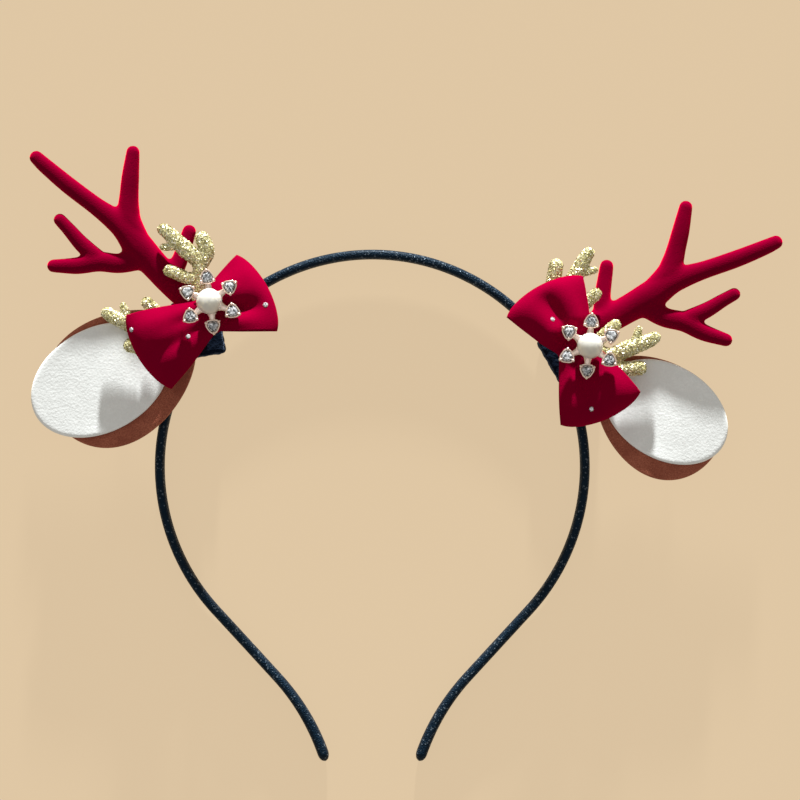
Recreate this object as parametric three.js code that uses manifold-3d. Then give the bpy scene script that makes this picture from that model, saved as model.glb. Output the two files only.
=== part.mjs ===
// Reindeer hair band for Christmas: a slim open band with a glued cluster on each side.
// Each cluster has a felt pad, a flocked antler, two glitter sprigs, a ribbon bow, a snowflake
// brooch with a pearl and cut stones, and a velvet deer ear with a felt oval.
//
// Millimetres. The band lies on its back: +X runs across the band, +Y towards its crown and
// +Z up, towards the side that is seen when it is worn. Left is -X.
import * as THREE from 'three';
import { mergeVertices } from 'three/addons/utils/BufferGeometryUtils.js';
import Module from 'manifold-3d';

const wasm = await Module();
wasm.setup();

const { degToRad, lerp, smoothstep } = THREE.MathUtils;

// Driving dimensions of the band
const BAND = {
  arcRadius: 59.5,
  arcHalfAngle: degToRad(132.5),
  padAngle: degToRad(75),
  straight: 25.5,
  flareRadius: 62.5,
  flareAngle: degToRad(25),
  thickness: 2.7,
  endThickness: 3.1,
  depth: 5,
  clusterHeight: 4,
  endHeight: 2.5,
  tipLength: 2.4,
  tipRounding: 0.8,
  squareness: 2.8,
  sides: 12,
  arcSteps: 28,
  flareSteps: 4,
};

// Heights of the glued layers above the surface that the band lies on
const GAP = 0.3;
const HEIGHT = {
  padTop: 8,
  antler: 11.65,
  ear: 8.3,
  sprig: 16.05,
  bow: 20.7,
  brooch: 25.6,
};

const PAD = { length: 13, width: 16, corner: 1.6, edge: 0.7 };

// Places in each cluster: x runs outwards from the middle of its brooch, y towards the crown
const SIDES = [
  {
    name: 'left',
    mirror: -1,
    brooch: { x: -43.7, y: 45.4, turn: -7 },
    pad: { x: 5.1, y: -6.5, turn: -10 },
    antler: { x: 0, y: 0, turn: 0, brow: { turn: 0, slide: 0, sink: 0 } },
    ear: { x: 25.7, y: -19.6, turn: -34, size: 1 },
    felt: { x: 5.7, y: 2.1, turn: 5, size: 1 },
    sprigs: {
      up: { x: 4.2, y: 3.6, turn: 0, flip: 1, stem: 3, reach: 0 },
      out: { x: 10.1, y: -4.95, turn: -112.9, flip: -1, stem: 4.5, reach: 0 },
    },
    bow: { x: 1.2, y: -3.7, waistTurn: -27, waistBack: 7.4 },
    lobes: [
      { turn: -31.5, length: 21, skew: 0, depth: 4.6, swell: 0.75, twist: 0, falls: [0.75, 0.75],
        dent: { at: -0.1, drift: -0.15, depth: 0.25, out: 1.5 } },
      { turn: 155, length: 17.3, skew: 0.6, depth: 4, swell: 0.45, twist: 0.15, falls: [0.75, 0.1],
        dent: { at: 0.05, drift: 0.35, depth: 0.75, out: 0.8 } },
    ],
    crystals: [
      { lobe: 0, along: 0.95, across: 0.66 },
      { lobe: 0, along: 0.36, across: -0.33 },
      { lobe: 1, along: 0.91, across: 0.4 },
    ],
  },
  {
    name: 'right',
    mirror: 1,
    brooch: { x: 59, y: 33.4, turn: -5 },
    pad: { x: -3.4, y: -2.2, turn: 29.5 },
    antler: { x: -6.5, y: 5.8, turn: -18.1, brow: { turn: -8, slide: -2, sink: 0.9 } },
    ear: { x: 20, y: -18.7, turn: -42, size: 0.87 },
    felt: { x: 1.25, y: 2.2, turn: 11, size: 0.905 },
    sprigs: {
      up: { x: -3, y: 6.9, turn: 18.7, flip: 1, stem: 0.5, reach: 2 },
      out: { x: -0.3, y: 1.3, turn: -115.9, flip: -1, stem: 3, reach: 2.4 },
    },
    bow: { x: -3.3, y: -0.1, waistTurn: 115, waistBack: 4.4 },
    lobes: [
      { turn: 121.5, length: 18.4, skew: 0.6, depth: 4, swell: 0.42, twist: 0.08, falls: [0.75, 0.75],
        dent: { at: 0, drift: 0, depth: 0.75, out: 1.6 } },
      { turn: -67.8, length: 20.5, skew: 0, depth: 5, swell: 0.85, twist: -0.1, falls: [0.75, 0.75],
        dent: { at: -0.05, drift: -0.2, depth: 0.4, out: 1.2 } },
    ],
    crystals: [
      { lobe: 0, along: 0.52, across: 0.27 },
      { lobe: 1, along: 0.845, across: -0.27 },
    ],
  },
];

// Antler tines: stations along each middle line, with the height above the base and the radius
const ANTLER = { sides: 9, flatness: 0.85, squareness: 2.4 };
const TINES = {
  beam: [
    { x: 3.5, y: -1.8, rise: 0, r: 3.85 },
    { x: 11.6, y: 5.7, rise: 0, r: 3.85 },
    { x: 16.2, y: 10.5, rise: 0.2, r: 3.9 },
    { x: 20.6, y: 15.4, rise: 0.6, r: 4.2 },
    { x: 24.1, y: 20.3, rise: 1, r: 3.75 },
    { x: 27.4, y: 23.2, rise: 1.2, r: 3.15 },
    { x: 32.6, y: 27, rise: 1.6, r: 2.5 },
    { x: 40, y: 32.6, rise: 2.2, r: 2.4 },
    { x: 46.2, y: 37.8, rise: 2.8, r: 2.15 },
    { x: 48.8, y: 40.2, rise: 3, r: 1.9 },
  ],
  crown: [
    { x: 19.5, y: 13.5, rise: 0.6, r: 3.6 },
    { x: 23.2, y: 21.7, rise: 1, r: 3.5 },
    { x: 23.6, y: 26, rise: 1.2, r: 3.05 },
    { x: 23.4, y: 30.1, rise: 1.4, r: 2.65 },
    { x: 23, y: 35.4, rise: 1.6, r: 2.4 },
    { x: 22.3, y: 41.8, rise: 1.8, r: 1.85 },
  ],
  lower: [
    { x: 20.4, y: 12.8, rise: 0.5, r: 3.4 },
    { x: 26.1, y: 11.2, rise: 0.8, r: 2.75 },
    { x: 31.9, y: 11.6, rise: 1.2, r: 2.75 },
    { x: 37.7, y: 10.5, rise: 1.6, r: 2.35 },
    { x: 44.2, y: 10.4, rise: 2, r: 1.8 },
  ],
  side: [
    { x: 32, y: 12.3, rise: 1.2, r: 2.5 },
    { x: 36.6, y: 16.6, rise: 1.7, r: 2.2 },
    { x: 39.9, y: 20.4, rise: 2.1, r: 1.9 },
    { x: 42.4, y: 23.1, rise: 2.3, r: 1.75 },
  ],
  brow: [
    { x: 11.6, y: 7.6, rise: 0, r: 2.6 },
    { x: 9.4, y: 12.6, rise: -0.4, r: 2.25 },
    { x: 8, y: 16.9, rise: -0.8, r: 2.05 },
    { x: 7, y: 20.1, rise: -1, r: 1.9 },
  ],
};

// Glitter sprig: the same kind of table, from the foot of its stem, in a flattened round section
const SPRIG = { sides: 7, flatness: 0.62, squareness: 2, forkLean: 0.55 };
const TWIGS = {
  main: [
    { x: 0, y: 0, rise: 0, r: 1.65 },
    { x: -0.6, y: 4.4, rise: 0, r: 1.9 },
    { x: -0.2, y: 8, rise: 0, r: 2.1 },
    { x: 3.2, y: 11.1, rise: 0, r: 2.25 },
    { x: 8, y: 15.6, rise: 0, r: 1.85 },
    { x: 9.5, y: 16.7, rise: 0, r: 1.6 },
  ],
  fork: [
    { x: -0.7, y: 6.8, rise: 0, r: 1.9 },
    { x: -2.4, y: 9.9, rise: 0, r: 2 },
    { x: -2.2, y: 12.2, rise: 0, r: 2.05 },
    { x: -1.2, y: 14.2, rise: 0, r: 1.95 },
  ],
  spur: [
    { x: 5.2, y: 12.6, rise: 0, r: 1.35 },
    { x: 8.1, y: 12, rise: 0, r: 1.15 },
    { x: 9.6, y: 11.8, rise: 0, r: 0.95 },
  ],
  low: [
    { x: -0.3, y: 3, rise: 0, r: 1.65 },
    { x: 3.2, y: 3.5, rise: 0, r: 1.65 },
    { x: 6.3, y: 4.8, rise: 0, r: 1.7 },
    { x: 7.8, y: 5.4, rise: 0, r: 1.6 },
  ],
};

// Ribbon loop of the bow
const RIBBON = {
  wall: 1.1,
  waistHalf: 4.5,
  edgeHalf: 11.2,
  cornerDrop: 2.4,
  cornerRound: 0.7,
  cornerPower: 8,
  waistGap: 1,
  fallPower: 3,
  swellFrom: 0.1,
  backShare: 0.7,
  dentWidth: 0.32,
  frontTurn: 0.4,
  waist: { halfWidth: 2.7, halfHeight: 5.2, halfDepth: 2.7, sides: 12 },
  widthCells: 6,
  folds: [1, 0.84, 0.66, 0.46, 0.26, 0.08, -0.12, -0.34, -0.6, -1],
};

const EAR = {
  halfLength: 22.5,
  halfWidth: 17.5,
  taper: 0.16,
  wall: 1.6,
  upperCup: 0.2,
  lowerCup: 1.6,
  cupPower: 4,
  tipRise: 0.8,
  riseEnd: 0.5,
  cupBlend: 0.5,
  cells: 9,
};
const FELT = { halfLength: 20.4, halfWidth: 14.4, wall: 1.4, cells: 7 };

const BROOCH = {
  arms: 6,
  ring: 6.65,
  armLength: 5.5,
  armHalfWidth: 0.6,
  hubRadius: 3.1,
  plate: 0.9,
  backRadius: 3.2,
  backDepth: 1.9,
  backSides: 14,
  weld: 0.1,
};
const PEARL = { radius: 3.5, clear: 0.25, around: 14, rings: 9 };
const PEARL_CUP = { radius: 2.9, lip: 2.5, rim: 1.6, hollow: 1.5, slope: 0.95, floor: 0.6, sides: 12 };
const STONE = {
  radius: 1.45,
  point: 0.1,
  sides: 9,
  girdle: 1.45,
  table: 0.58,
  crown: 0.6,
  culet: 0.3,
  pavilion: 0.85,
};
const CUP = { radius: 1.92, foot: 1.42, height: 1.5, clear: 0.12, floor: 0.35 };
const PRONG = { radius: 0.4, reach: 2 };
const CHIP = { radius: 0.9, table: 0.52, height: 0.75, sides: 8, clear: 0.45 };

const finish = (color, roughness, metalness) =>
  new THREE.MeshStandardMaterial({ color, roughness, metalness });

const MATERIAL = {
  cover: finish(0x18222c, 0.45, 0),
  pad: finish(0x131c2c, 0.95, 0),
  flock: finish(0xb4001e, 0.9, 0),
  glitter: finish(0xc8b173, 0.35, 0.7),
  ribbon: finish(0xb80028, 0.5, 0),
  gold: finish(0xd9b48a, 0.25, 1),
  pearl: finish(0xf3ebe4, 0.2, 0),
  crystal: finish(0xd9dde0, 0.05, 0),
  velvet: finish(0x7a3f26, 0.8, 0),
  felt: finish(0xf1efea, 0.95, 0),
};

// Geometry helpers

const meshOf = (points, index) => {
  const geometry = new THREE.BufferGeometry();
  geometry.setFromPoints(points);
  geometry.setIndex(index);
  return geometry;
};

// Skin through closed loops of points, each counter-clockwise seen from the next, with flat ends.
function loft(rings) {
  const sides = rings[0].length;
  const points = rings.flat();
  const index = [];
  for (let i = 0; i + 1 < rings.length; i += 1) {
    for (let j = 0; j < sides; j += 1) {
      const a = i * sides + j;
      const b = i * sides + ((j + 1) % sides);
      index.push(a, b, b + sides, a, b + sides, a + sides);
    }
  }
  const last = (rings.length - 1) * sides;
  for (let j = 1; j + 1 < sides; j += 1) {
    index.push(0, j + 1, j);
    index.push(last, last + j, last + j + 1);
  }
  return meshOf(points, index);
}

// Wall between two grids of points: the first faces out, and four strips close its edges.
function wallBetween(outer, inner) {
  const rows = outer.length;
  const columns = outer[0].length;
  const at = (i, j) => i * columns + j;
  const under = (i, j) => rows * columns + at(i, j);
  const index = [];
  const quad = (a, b, c, d) => index.push(a, b, c, a, c, d);
  for (let i = 0; i + 1 < rows; i += 1) {
    for (let j = 0; j + 1 < columns; j += 1) {
      quad(at(i, j), at(i + 1, j), at(i + 1, j + 1), at(i, j + 1));
      quad(under(i, j), under(i, j + 1), under(i + 1, j + 1), under(i + 1, j));
    }
  }
  const lastRow = rows - 1;
  const lastColumn = columns - 1;
  for (let i = 0; i < lastRow; i += 1) {
    quad(at(i + 1, 0), at(i, 0), under(i, 0), under(i + 1, 0));
    quad(at(i, lastColumn), at(i + 1, lastColumn), under(i + 1, lastColumn), under(i, lastColumn));
  }
  for (let j = 0; j < lastColumn; j += 1) {
    quad(at(0, j), at(0, j + 1), under(0, j + 1), under(0, j));
    quad(at(lastRow, j + 1), at(lastRow, j), under(lastRow, j), under(lastRow, j + 1));
  }
  return meshOf([...outer.flat(), ...inner.flat()], index);
}

function solidOf(geometry) {
  const bare = geometry.clone();
  bare.deleteAttribute('normal');
  bare.deleteAttribute('uv');
  const merged = mergeVertices(bare);
  const vertProperties = new Float32Array(merged.getAttribute('position').array);
  const triVerts = new Uint32Array(merged.getIndex().array);
  return new wasm.Manifold(new wasm.Mesh({ numProp: 3, vertProperties, triVerts }));
}

function geometryOf(solid) {
  const { vertProperties, triVerts } = solid.getMesh();
  const geometry = new THREE.BufferGeometry();
  geometry.setAttribute('position', new THREE.BufferAttribute(vertProperties, 3));
  geometry.setIndex(new THREE.BufferAttribute(triVerts, 1));
  return geometry;
}

const fuse = (geometries) => geometryOf(geometries.map(solidOf).reduce((sum, next) => sum.add(next)));

const cut = (geometry, tool) => geometryOf(solidOf(geometry).subtract(solidOf(tool)));

function place(group, { x, y, z = 0, turn = 0 }) {
  group.position.set(x, y, z);
  group.rotation.z = degToRad(turn);
  return group;
}

function addMesh(parent, name, geometry, material) {
  geometry.computeVertexNormals();
  const mesh = new THREE.Mesh(geometry, material);
  mesh.name = name;
  parent.add(mesh);
  return mesh;
}

const TIP_ANGLES = [degToRad(40), degToRad(70)];

// Distance to the edge of a unit circle that is pressed towards a square.
const squareReach = (angle, squareness) =>
  (Math.abs(Math.cos(angle)) ** squareness + Math.abs(Math.sin(angle)) ** squareness) ** (-1 / squareness);

// Rod along a smooth line through its stations, with a flat foot and a rounded tip. Its section is
// a circle, pressed flatter and squarer.
function taperedRod(stations, { sides, flatness, squareness }) {
  const line = new THREE.CatmullRomCurve3(
    stations.map(({ x, y, rise }) => new THREE.Vector3(x, y, rise)), false, 'catmullrom', 0.5);
  const last = stations.length - 1;
  const up = new THREE.Vector3(0, 0, 1);
  const ringAt = (i, ahead, share) => {
    const { r } = stations[i];
    const forward = line.getTangent(i / last);
    const side = new THREE.Vector3().crossVectors(up, forward).normalize();
    const above = new THREE.Vector3().crossVectors(forward, side);
    const middle = line.getPoint(i / last).addScaledVector(forward, ahead * r);
    const ring = [];
    for (let j = 0; j < sides; j += 1) {
      const angle = (2 * Math.PI * j) / sides;
      const reach = share * r * squareReach(angle, squareness);
      ring.push(middle.clone()
        .addScaledVector(side, reach * Math.cos(angle))
        .addScaledVector(above, reach * flatness * Math.sin(angle)));
    }
    return ring;
  };
  const rings = stations.map((station, i) => ringAt(i, 0, 1));
  for (const tipAngle of TIP_ANGLES) {
    rings.push(ringAt(last, Math.sin(tipAngle), Math.cos(tipAngle)));
  }
  return loft(rings);
}

// Band

const bandArc = BAND.arcRadius * BAND.arcHalfAngle;
const bandFlare = BAND.flareRadius * BAND.flareAngle;
const bandHalf = bandArc + BAND.straight + bandFlare;

// Middle line of the band at a signed length from the crown: a big arc, a straight leg and a
// flare that bends the other way. `side` points out of the loop.
function bandAt(length) {
  const sign = Math.sign(length) || 1;
  const run = Math.abs(length);
  const arcAngle = Math.min(run, bandArc) / BAND.arcRadius;
  let x = BAND.arcRadius * Math.sin(arcAngle);
  let y = BAND.arcRadius * Math.cos(arcAngle);
  const leg = THREE.MathUtils.clamp(run - bandArc, 0, BAND.straight);
  x += leg * Math.cos(arcAngle);
  y -= leg * Math.sin(arcAngle);
  const bend = Math.max(run - bandArc - BAND.straight, 0) / BAND.flareRadius;
  const outX = Math.sin(arcAngle);
  const outY = Math.cos(arcAngle);
  x += BAND.flareRadius * (outX * (1 - Math.cos(bend)) + Math.cos(arcAngle) * Math.sin(bend));
  y += BAND.flareRadius * (outY * (1 - Math.cos(bend)) - Math.sin(arcAngle) * Math.sin(bend));
  const heading = arcAngle - bend;
  return {
    middle: new THREE.Vector3(sign * x, y, 0),
    side: new THREE.Vector3(sign * Math.sin(heading), Math.cos(heading), 0),
  };
}

const padReach = BAND.arcRadius * BAND.padAngle;

function bandHeight(length) {
  const settled = smoothstep(Math.abs(length), padReach, bandArc + BAND.straight);
  return lerp(BAND.clusterHeight, BAND.endHeight, settled);
}

// The sections have no corner on the vertical, so this brings their flat sides to the full depth.
const halfStep = Math.PI / BAND.sides;
const bandFlatness = 1 / (squareReach(halfStep, BAND.squareness) * Math.cos(halfStep));

// Rounded rectangular section of the band at one length, grown by a clearance.
function bandSection(length, clearance) {
  const { middle, side } = bandAt(length);
  const toEnd = smoothstep(Math.abs(length), bandHalf - bandFlare, bandHalf);
  const run = Math.min(1, (bandHalf - Math.abs(length)) / BAND.tipLength);
  const tip = Math.sqrt(1 - BAND.tipRounding * (1 - run) ** 2);
  const halfThick = (tip * lerp(BAND.thickness, BAND.endThickness, toEnd)) / 2 + clearance;
  const halfDeep = (tip * BAND.depth) / 2 + clearance;
  const height = bandHeight(length);
  const ring = [];
  for (let j = 0; j < BAND.sides; j += 1) {
    const angle = (2 * Math.PI * (j + 0.5)) / BAND.sides;
    const reach = squareReach(angle, BAND.squareness);
    ring.push(middle.clone()
      .addScaledVector(side, halfThick * reach * Math.cos(angle))
      .setZ(height + halfDeep * reach * Math.sin(angle) * bandFlatness));
  }
  return ring;
}

function bandLengths() {
  const arcs = [];
  for (let i = 0; i <= BAND.arcSteps; i += 1) {
    arcs.push(lerp(-bandArc, bandArc, i / BAND.arcSteps));
  }
  const flareStart = bandArc + BAND.straight;
  const legs = [bandArc + BAND.straight / 2, flareStart];
  for (let i = 1; i <= BAND.flareSteps; i += 1) {
    legs.push(lerp(flareStart, bandHalf - BAND.tipLength, i / BAND.flareSteps));
  }
  legs.push(bandHalf - BAND.tipLength / 3, bandHalf);
  return [...legs.map((leg) => -leg).reverse(), ...arcs, ...legs];
}

const makeBand = () => loft(bandLengths().map((length) => bandSection(length, 0)));

// Pad: a felt block with eased edges, and a tunnel where the band runs through it
function makePad() {
  const outline = new THREE.Shape();
  const halfLength = PAD.length / 2 - PAD.edge;
  const halfWidth = PAD.width / 2 - PAD.edge;
  outline.moveTo(-halfLength + PAD.corner, -halfWidth);
  outline.lineTo(halfLength - PAD.corner, -halfWidth);
  outline.quadraticCurveTo(halfLength, -halfWidth, halfLength, -halfWidth + PAD.corner);
  outline.lineTo(halfLength, halfWidth - PAD.corner);
  outline.quadraticCurveTo(halfLength, halfWidth, halfLength - PAD.corner, halfWidth);
  outline.lineTo(-halfLength + PAD.corner, halfWidth);
  outline.quadraticCurveTo(-halfLength, halfWidth, -halfLength, halfWidth - PAD.corner);
  outline.lineTo(-halfLength, -halfWidth + PAD.corner);
  outline.quadraticCurveTo(-halfLength, -halfWidth, -halfLength + PAD.corner, -halfWidth);
  const block = new THREE.ExtrudeGeometry(outline, {
    depth: HEIGHT.padTop - 2 * PAD.edge,
    bevelThickness: PAD.edge,
    bevelSize: PAD.edge,
    bevelSegments: 1,
    curveSegments: 2,
  });
  return block.translate(0, 0, PAD.edge);
}

// Ribbon bow

// Middle surface of one loop. `fold` runs from 1 at the waist in front, through 0 at the outer
// fold, to -1 at the waist behind, and `across` from -1 to 1 over the ribbon's width.
function ribbonPoint(lobe, fold, across) {
  const along = Math.max(1 - fold * fold, 0);
  const corner = RIBBON.cornerDrop * across * across + RIBBON.cornerRound * across ** RIBBON.cornerPower;
  const reach = lobe.length - corner + lobe.skew * across;
  const halfWidth = lerp(RIBBON.waistHalf, RIBBON.edgeHalf, along);
  const swell = lerp(RIBBON.waistGap, lobe.depth, smoothstep(along, RIBBON.swellFrom, lobe.swell));
  const roundness = Math.sqrt((1 + along) * (1 + along * along));
  const front = smoothstep(fold, -RIBBON.frontTurn, RIBBON.frontTurn);
  const out = along ** lobe.dent.out;
  const midway = 4 * out * (1 - out);
  const fromDent = (across - lobe.dent.at - lobe.dent.drift * along) / RIBBON.dentWidth;
  const dent = lobe.dent.depth * front * midway * Math.exp(-(fromDent ** 2));
  const share = lerp(RIBBON.backShare, 1, front);
  const fall = lobe.falls[across < 0 ? 0 : 1];
  const arch = 1 - fall * Math.abs(across) ** RIBBON.fallPower;
  const twist = lobe.twist * across * halfWidth * along;
  const height = fold * roundness * swell * share * arch * (1 - dent) + twist;
  return new THREE.Vector3(reach * along, across * halfWidth, height);
}

function ribbonNormal(lobe, fold, across) {
  const step = 1e-3;
  const towardsFold = ribbonPoint(lobe, fold - step, across).sub(ribbonPoint(lobe, fold + step, across));
  const overWidth = ribbonPoint(lobe, fold, across + step).sub(ribbonPoint(lobe, fold, across - step));
  return towardsFold.cross(overWidth).normalize();
}

function makeLobe(lobe) {
  const outer = [];
  const inner = [];
  for (const fold of RIBBON.folds) {
    const outerRow = [];
    const innerRow = [];
    for (let j = 0; j <= RIBBON.widthCells; j += 1) {
      const across = lerp(-1, 1, j / RIBBON.widthCells);
      const middle = ribbonPoint(lobe, fold, across);
      const normal = ribbonNormal(lobe, fold, across);
      outerRow.push(middle.clone().addScaledVector(normal, RIBBON.wall / 2));
      innerRow.push(middle.clone().addScaledVector(normal, -RIBBON.wall / 2));
    }
    outer.push(outerRow);
    inner.push(innerRow);
  }
  return wallBetween(outer, inner).rotateZ(degToRad(lobe.turn));
}

// Gathered middle of the bow: a short barrel across the ribbon, with its back drawn down to the glue.
function makeWaist({ waistTurn, waistBack }) {
  const { halfWidth, halfHeight, halfDepth, sides } = RIBBON.waist;
  const stations = [
    { across: 1, share: 0.72, back: halfDepth },
    { across: 0.85, share: 1, back: halfDepth },
    { across: 0, share: 0.92, back: waistBack },
    { across: -0.85, share: 1, back: halfDepth },
    { across: -1, share: 0.72, back: halfDepth },
  ];
  const rings = stations.map(({ across, share, back }) => {
    const ring = [];
    for (let j = 0; j < sides; j += 1) {
      const angle = (2 * Math.PI * j) / sides;
      const depth = Math.sin(angle) < 0 ? back : halfDepth;
      ring.push(new THREE.Vector3(
        share * halfWidth * Math.cos(angle), across * halfHeight, share * depth * Math.sin(angle)));
    }
    return ring;
  });
  return loft(rings).rotateZ(degToRad(waistTurn));
}

const makeBow = (side) => fuse([makeWaist(side.bow), ...side.lobes.map(makeLobe)]);

// Small flat-back crystal, with its middle on the front of a loop.
function addChip(bow, side, { lobe, along, across }, name) {
  const loop = side.lobes[lobe];
  const fold = Math.sqrt(1 - along);
  const holder = new THREE.Group();
  holder.rotation.z = degToRad(loop.turn);
  bow.add(holder);
  const normal = ribbonNormal(loop, fold, across);
  const chip = new THREE.CylinderGeometry(CHIP.table, CHIP.radius, CHIP.height, CHIP.sides);
  chip.translate(0, CHIP.height / 2, 0);
  const mesh = addMesh(holder, name, chip, MATERIAL.crystal);
  mesh.position.copy(ribbonPoint(loop, fold, across)).addScaledVector(normal, RIBBON.wall / 2 + CHIP.clear);
  mesh.quaternion.setFromUnitVectors(new THREE.Vector3(0, 1, 0), normal);
}

// Deer ear

// Height of the ear's cupped surface, on axes along and across the ear.
function earHeight(u, v, size) {
  const along = smoothstep(u, -EAR.halfLength * size, EAR.riseEnd * EAR.halfLength * size);
  const across = v / (EAR.halfWidth * size);
  const toUpper = smoothstep(across, -EAR.cupBlend, EAR.cupBlend);
  const cup = lerp(EAR.lowerCup, EAR.upperCup, toUpper);
  return along * (EAR.tipRise + cup * across ** EAR.cupPower);
}

// Oval wall on a square grid pressed into a round one, laid on the ear's surface.
function ovalWall({ halfLength, halfWidth, wall, cells, taper = 0 }, heightAt) {
  const front = [];
  const back = [];
  for (let i = 0; i <= cells; i += 1) {
    const frontRow = [];
    const backRow = [];
    for (let j = 0; j <= cells; j += 1) {
      const p = lerp(-1, 1, i / cells);
      const q = lerp(-1, 1, j / cells);
      const u = p * Math.sqrt(1 - (q * q) / 2);
      const v = q * Math.sqrt(1 - (p * p) / 2) * (1 + taper * u);
      const x = halfLength * u;
      const y = halfWidth * v;
      const height = heightAt(x, y);
      frontRow.push(new THREE.Vector3(x, y, height + wall));
      backRow.push(new THREE.Vector3(x, y, height));
    }
    front.push(frontRow);
    back.push(backRow);
  }
  return wallBetween(front, back);
}

function addEar(cluster, side) {
  const { size } = side.ear;
  const ear = place(new THREE.Group(), { ...side.ear, z: HEIGHT.ear });
  cluster.add(ear);
  const outer = { ...EAR, halfLength: EAR.halfLength * size, halfWidth: EAR.halfWidth * size };
  addMesh(ear, `ear_outer_${side.name}`, ovalWall(outer, (u, v) => earHeight(u, v, size)), MATERIAL.velvet);
  const felt = place(new THREE.Group(), { ...side.felt, z: EAR.wall + GAP });
  ear.add(felt);
  const turn = degToRad(side.felt.turn);
  const feltHeight = (x, y) => earHeight(
    side.felt.x + x * Math.cos(turn) - y * Math.sin(turn),
    side.felt.y + x * Math.sin(turn) + y * Math.cos(turn), size);
  const feltSize = side.felt.size;
  const inner = { ...FELT, halfLength: FELT.halfLength * feltSize, halfWidth: FELT.halfWidth * feltSize };
  addMesh(felt, `ear_inner_${side.name}`, ovalWall(inner, feltHeight), MATERIAL.felt);
}

// Snowflake brooch

// Loop of a soft triangle, with one point along +X.
function trillion(radius, height) {
  const ring = [];
  for (let j = 0; j < STONE.sides; j += 1) {
    const angle = (2 * Math.PI * j) / STONE.sides;
    const reach = radius * (1 + STONE.point * Math.cos(3 * angle));
    ring.push(new THREE.Vector3(reach * Math.cos(angle), reach * Math.sin(angle), height));
  }
  return ring;
}

const makeStone = () => loft([
  trillion(STONE.culet * STONE.radius, STONE.girdle - STONE.pavilion),
  trillion(STONE.radius, STONE.girdle),
  trillion(STONE.table * STONE.radius, STONE.girdle + STONE.crown),
]);

function makeCup() {
  const wall = loft([
    trillion(CUP.foot, 0),
    trillion(CUP.radius, CUP.height),
    trillion(STONE.radius + CUP.clear, CUP.height),
    trillion(STONE.culet * STONE.radius + CUP.clear, CUP.floor),
  ]);
  const prongs = [0, 1, 2].map((corner) => {
    const angle = (2 * Math.PI * corner) / 3;
    return new THREE.OctahedronGeometry(PRONG.radius)
      .translate(PRONG.reach * Math.cos(angle), PRONG.reach * Math.sin(angle), CUP.height + PRONG.radius / 2);
  });
  return [wall, ...prongs];
}

function makeStar() {
  const star = new THREE.Shape();
  const points = [];
  for (let arm = 0; arm < BROOCH.arms; arm += 1) {
    const angle = (2 * Math.PI * arm) / BROOCH.arms;
    const valley = angle - Math.PI / BROOCH.arms;
    const c = Math.cos(angle);
    const s = Math.sin(angle);
    points.push(new THREE.Vector2(Math.cos(valley), Math.sin(valley)).multiplyScalar(BROOCH.hubRadius));
    for (const half of [-BROOCH.armHalfWidth, BROOCH.armHalfWidth]) {
      points.push(new THREE.Vector2(BROOCH.armLength * c - half * s, BROOCH.armLength * s + half * c));
    }
  }
  star.setFromPoints(points);
  return new THREE.ExtrudeGeometry(star, { depth: BROOCH.plate, bevelEnabled: false });
}

const pearlMiddle = PEARL_CUP.floor + PEARL.clear + PEARL.radius;

function makePearlCup() {
  const profile = [
    new THREE.Vector2(0, 0),
    new THREE.Vector2(PEARL_CUP.radius, 0),
    new THREE.Vector2(PEARL_CUP.radius, PEARL_CUP.rim),
    new THREE.Vector2(PEARL_CUP.lip, PEARL_CUP.rim),
    new THREE.Vector2(PEARL_CUP.hollow, PEARL_CUP.slope),
    new THREE.Vector2(0, PEARL_CUP.floor),
  ];
  return new THREE.LatheGeometry(profile, PEARL_CUP.sides).rotateX(Math.PI / 2);
}

function makeSetting() {
  const { backRadius, backDepth, backSides } = BROOCH;
  const back = new THREE.CylinderGeometry(backRadius, backRadius, backDepth, backSides)
    .rotateX(Math.PI / 2)
    .translate(0, 0, BROOCH.weld - backDepth / 2);
  const pieces = [makeStar(), makePearlCup(), back];
  for (let arm = 0; arm < BROOCH.arms; arm += 1) {
    for (const piece of makeCup()) {
      pieces.push(piece.translate(BROOCH.ring, 0, 0).rotateZ((2 * Math.PI * arm) / BROOCH.arms));
    }
  }
  return fuse(pieces);
}

function addBrooch(cluster, side) {
  const firstArm = 90 + side.brooch.turn;
  const brooch = place(new THREE.Group(), { x: 0, y: 0, z: HEIGHT.brooch, turn: firstArm });
  cluster.add(brooch);
  addMesh(brooch, `brooch_setting_${side.name}`, makeSetting(), MATERIAL.gold);
  const pearl = new THREE.SphereGeometry(PEARL.radius, PEARL.around, PEARL.rings)
    .translate(0, 0, pearlMiddle);
  addMesh(brooch, `pearl_${side.name}`, pearl, MATERIAL.pearl);
  for (let arm = 0; arm < BROOCH.arms; arm += 1) {
    const stone = makeStone().translate(BROOCH.ring, 0, 0).rotateZ((2 * Math.PI * arm) / BROOCH.arms);
    addMesh(brooch, `brooch_crystal_${side.name}_${arm + 1}`, stone, MATERIAL.crystal);
  }
}

// Antlers, sprigs and the whole cluster

// Tine turned about its own foot, slid along X and sunk along Y.
function moveTine(stations, { turn, slide, sink }) {
  const foot = new THREE.Vector2(stations[0].x, stations[0].y);
  return stations.map((station) => {
    const spot = new THREE.Vector2(station.x, station.y).rotateAround(foot, degToRad(turn));
    return { ...station, x: spot.x + slide, y: spot.y - sink };
  });
}

function makeAntler({ brow }) {
  const tines = { ...TINES, brow: moveTine(TINES.brow, brow) };
  return fuse(Object.values(tines).map((tine) => taperedRod(tine, ANTLER)));
}

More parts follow.
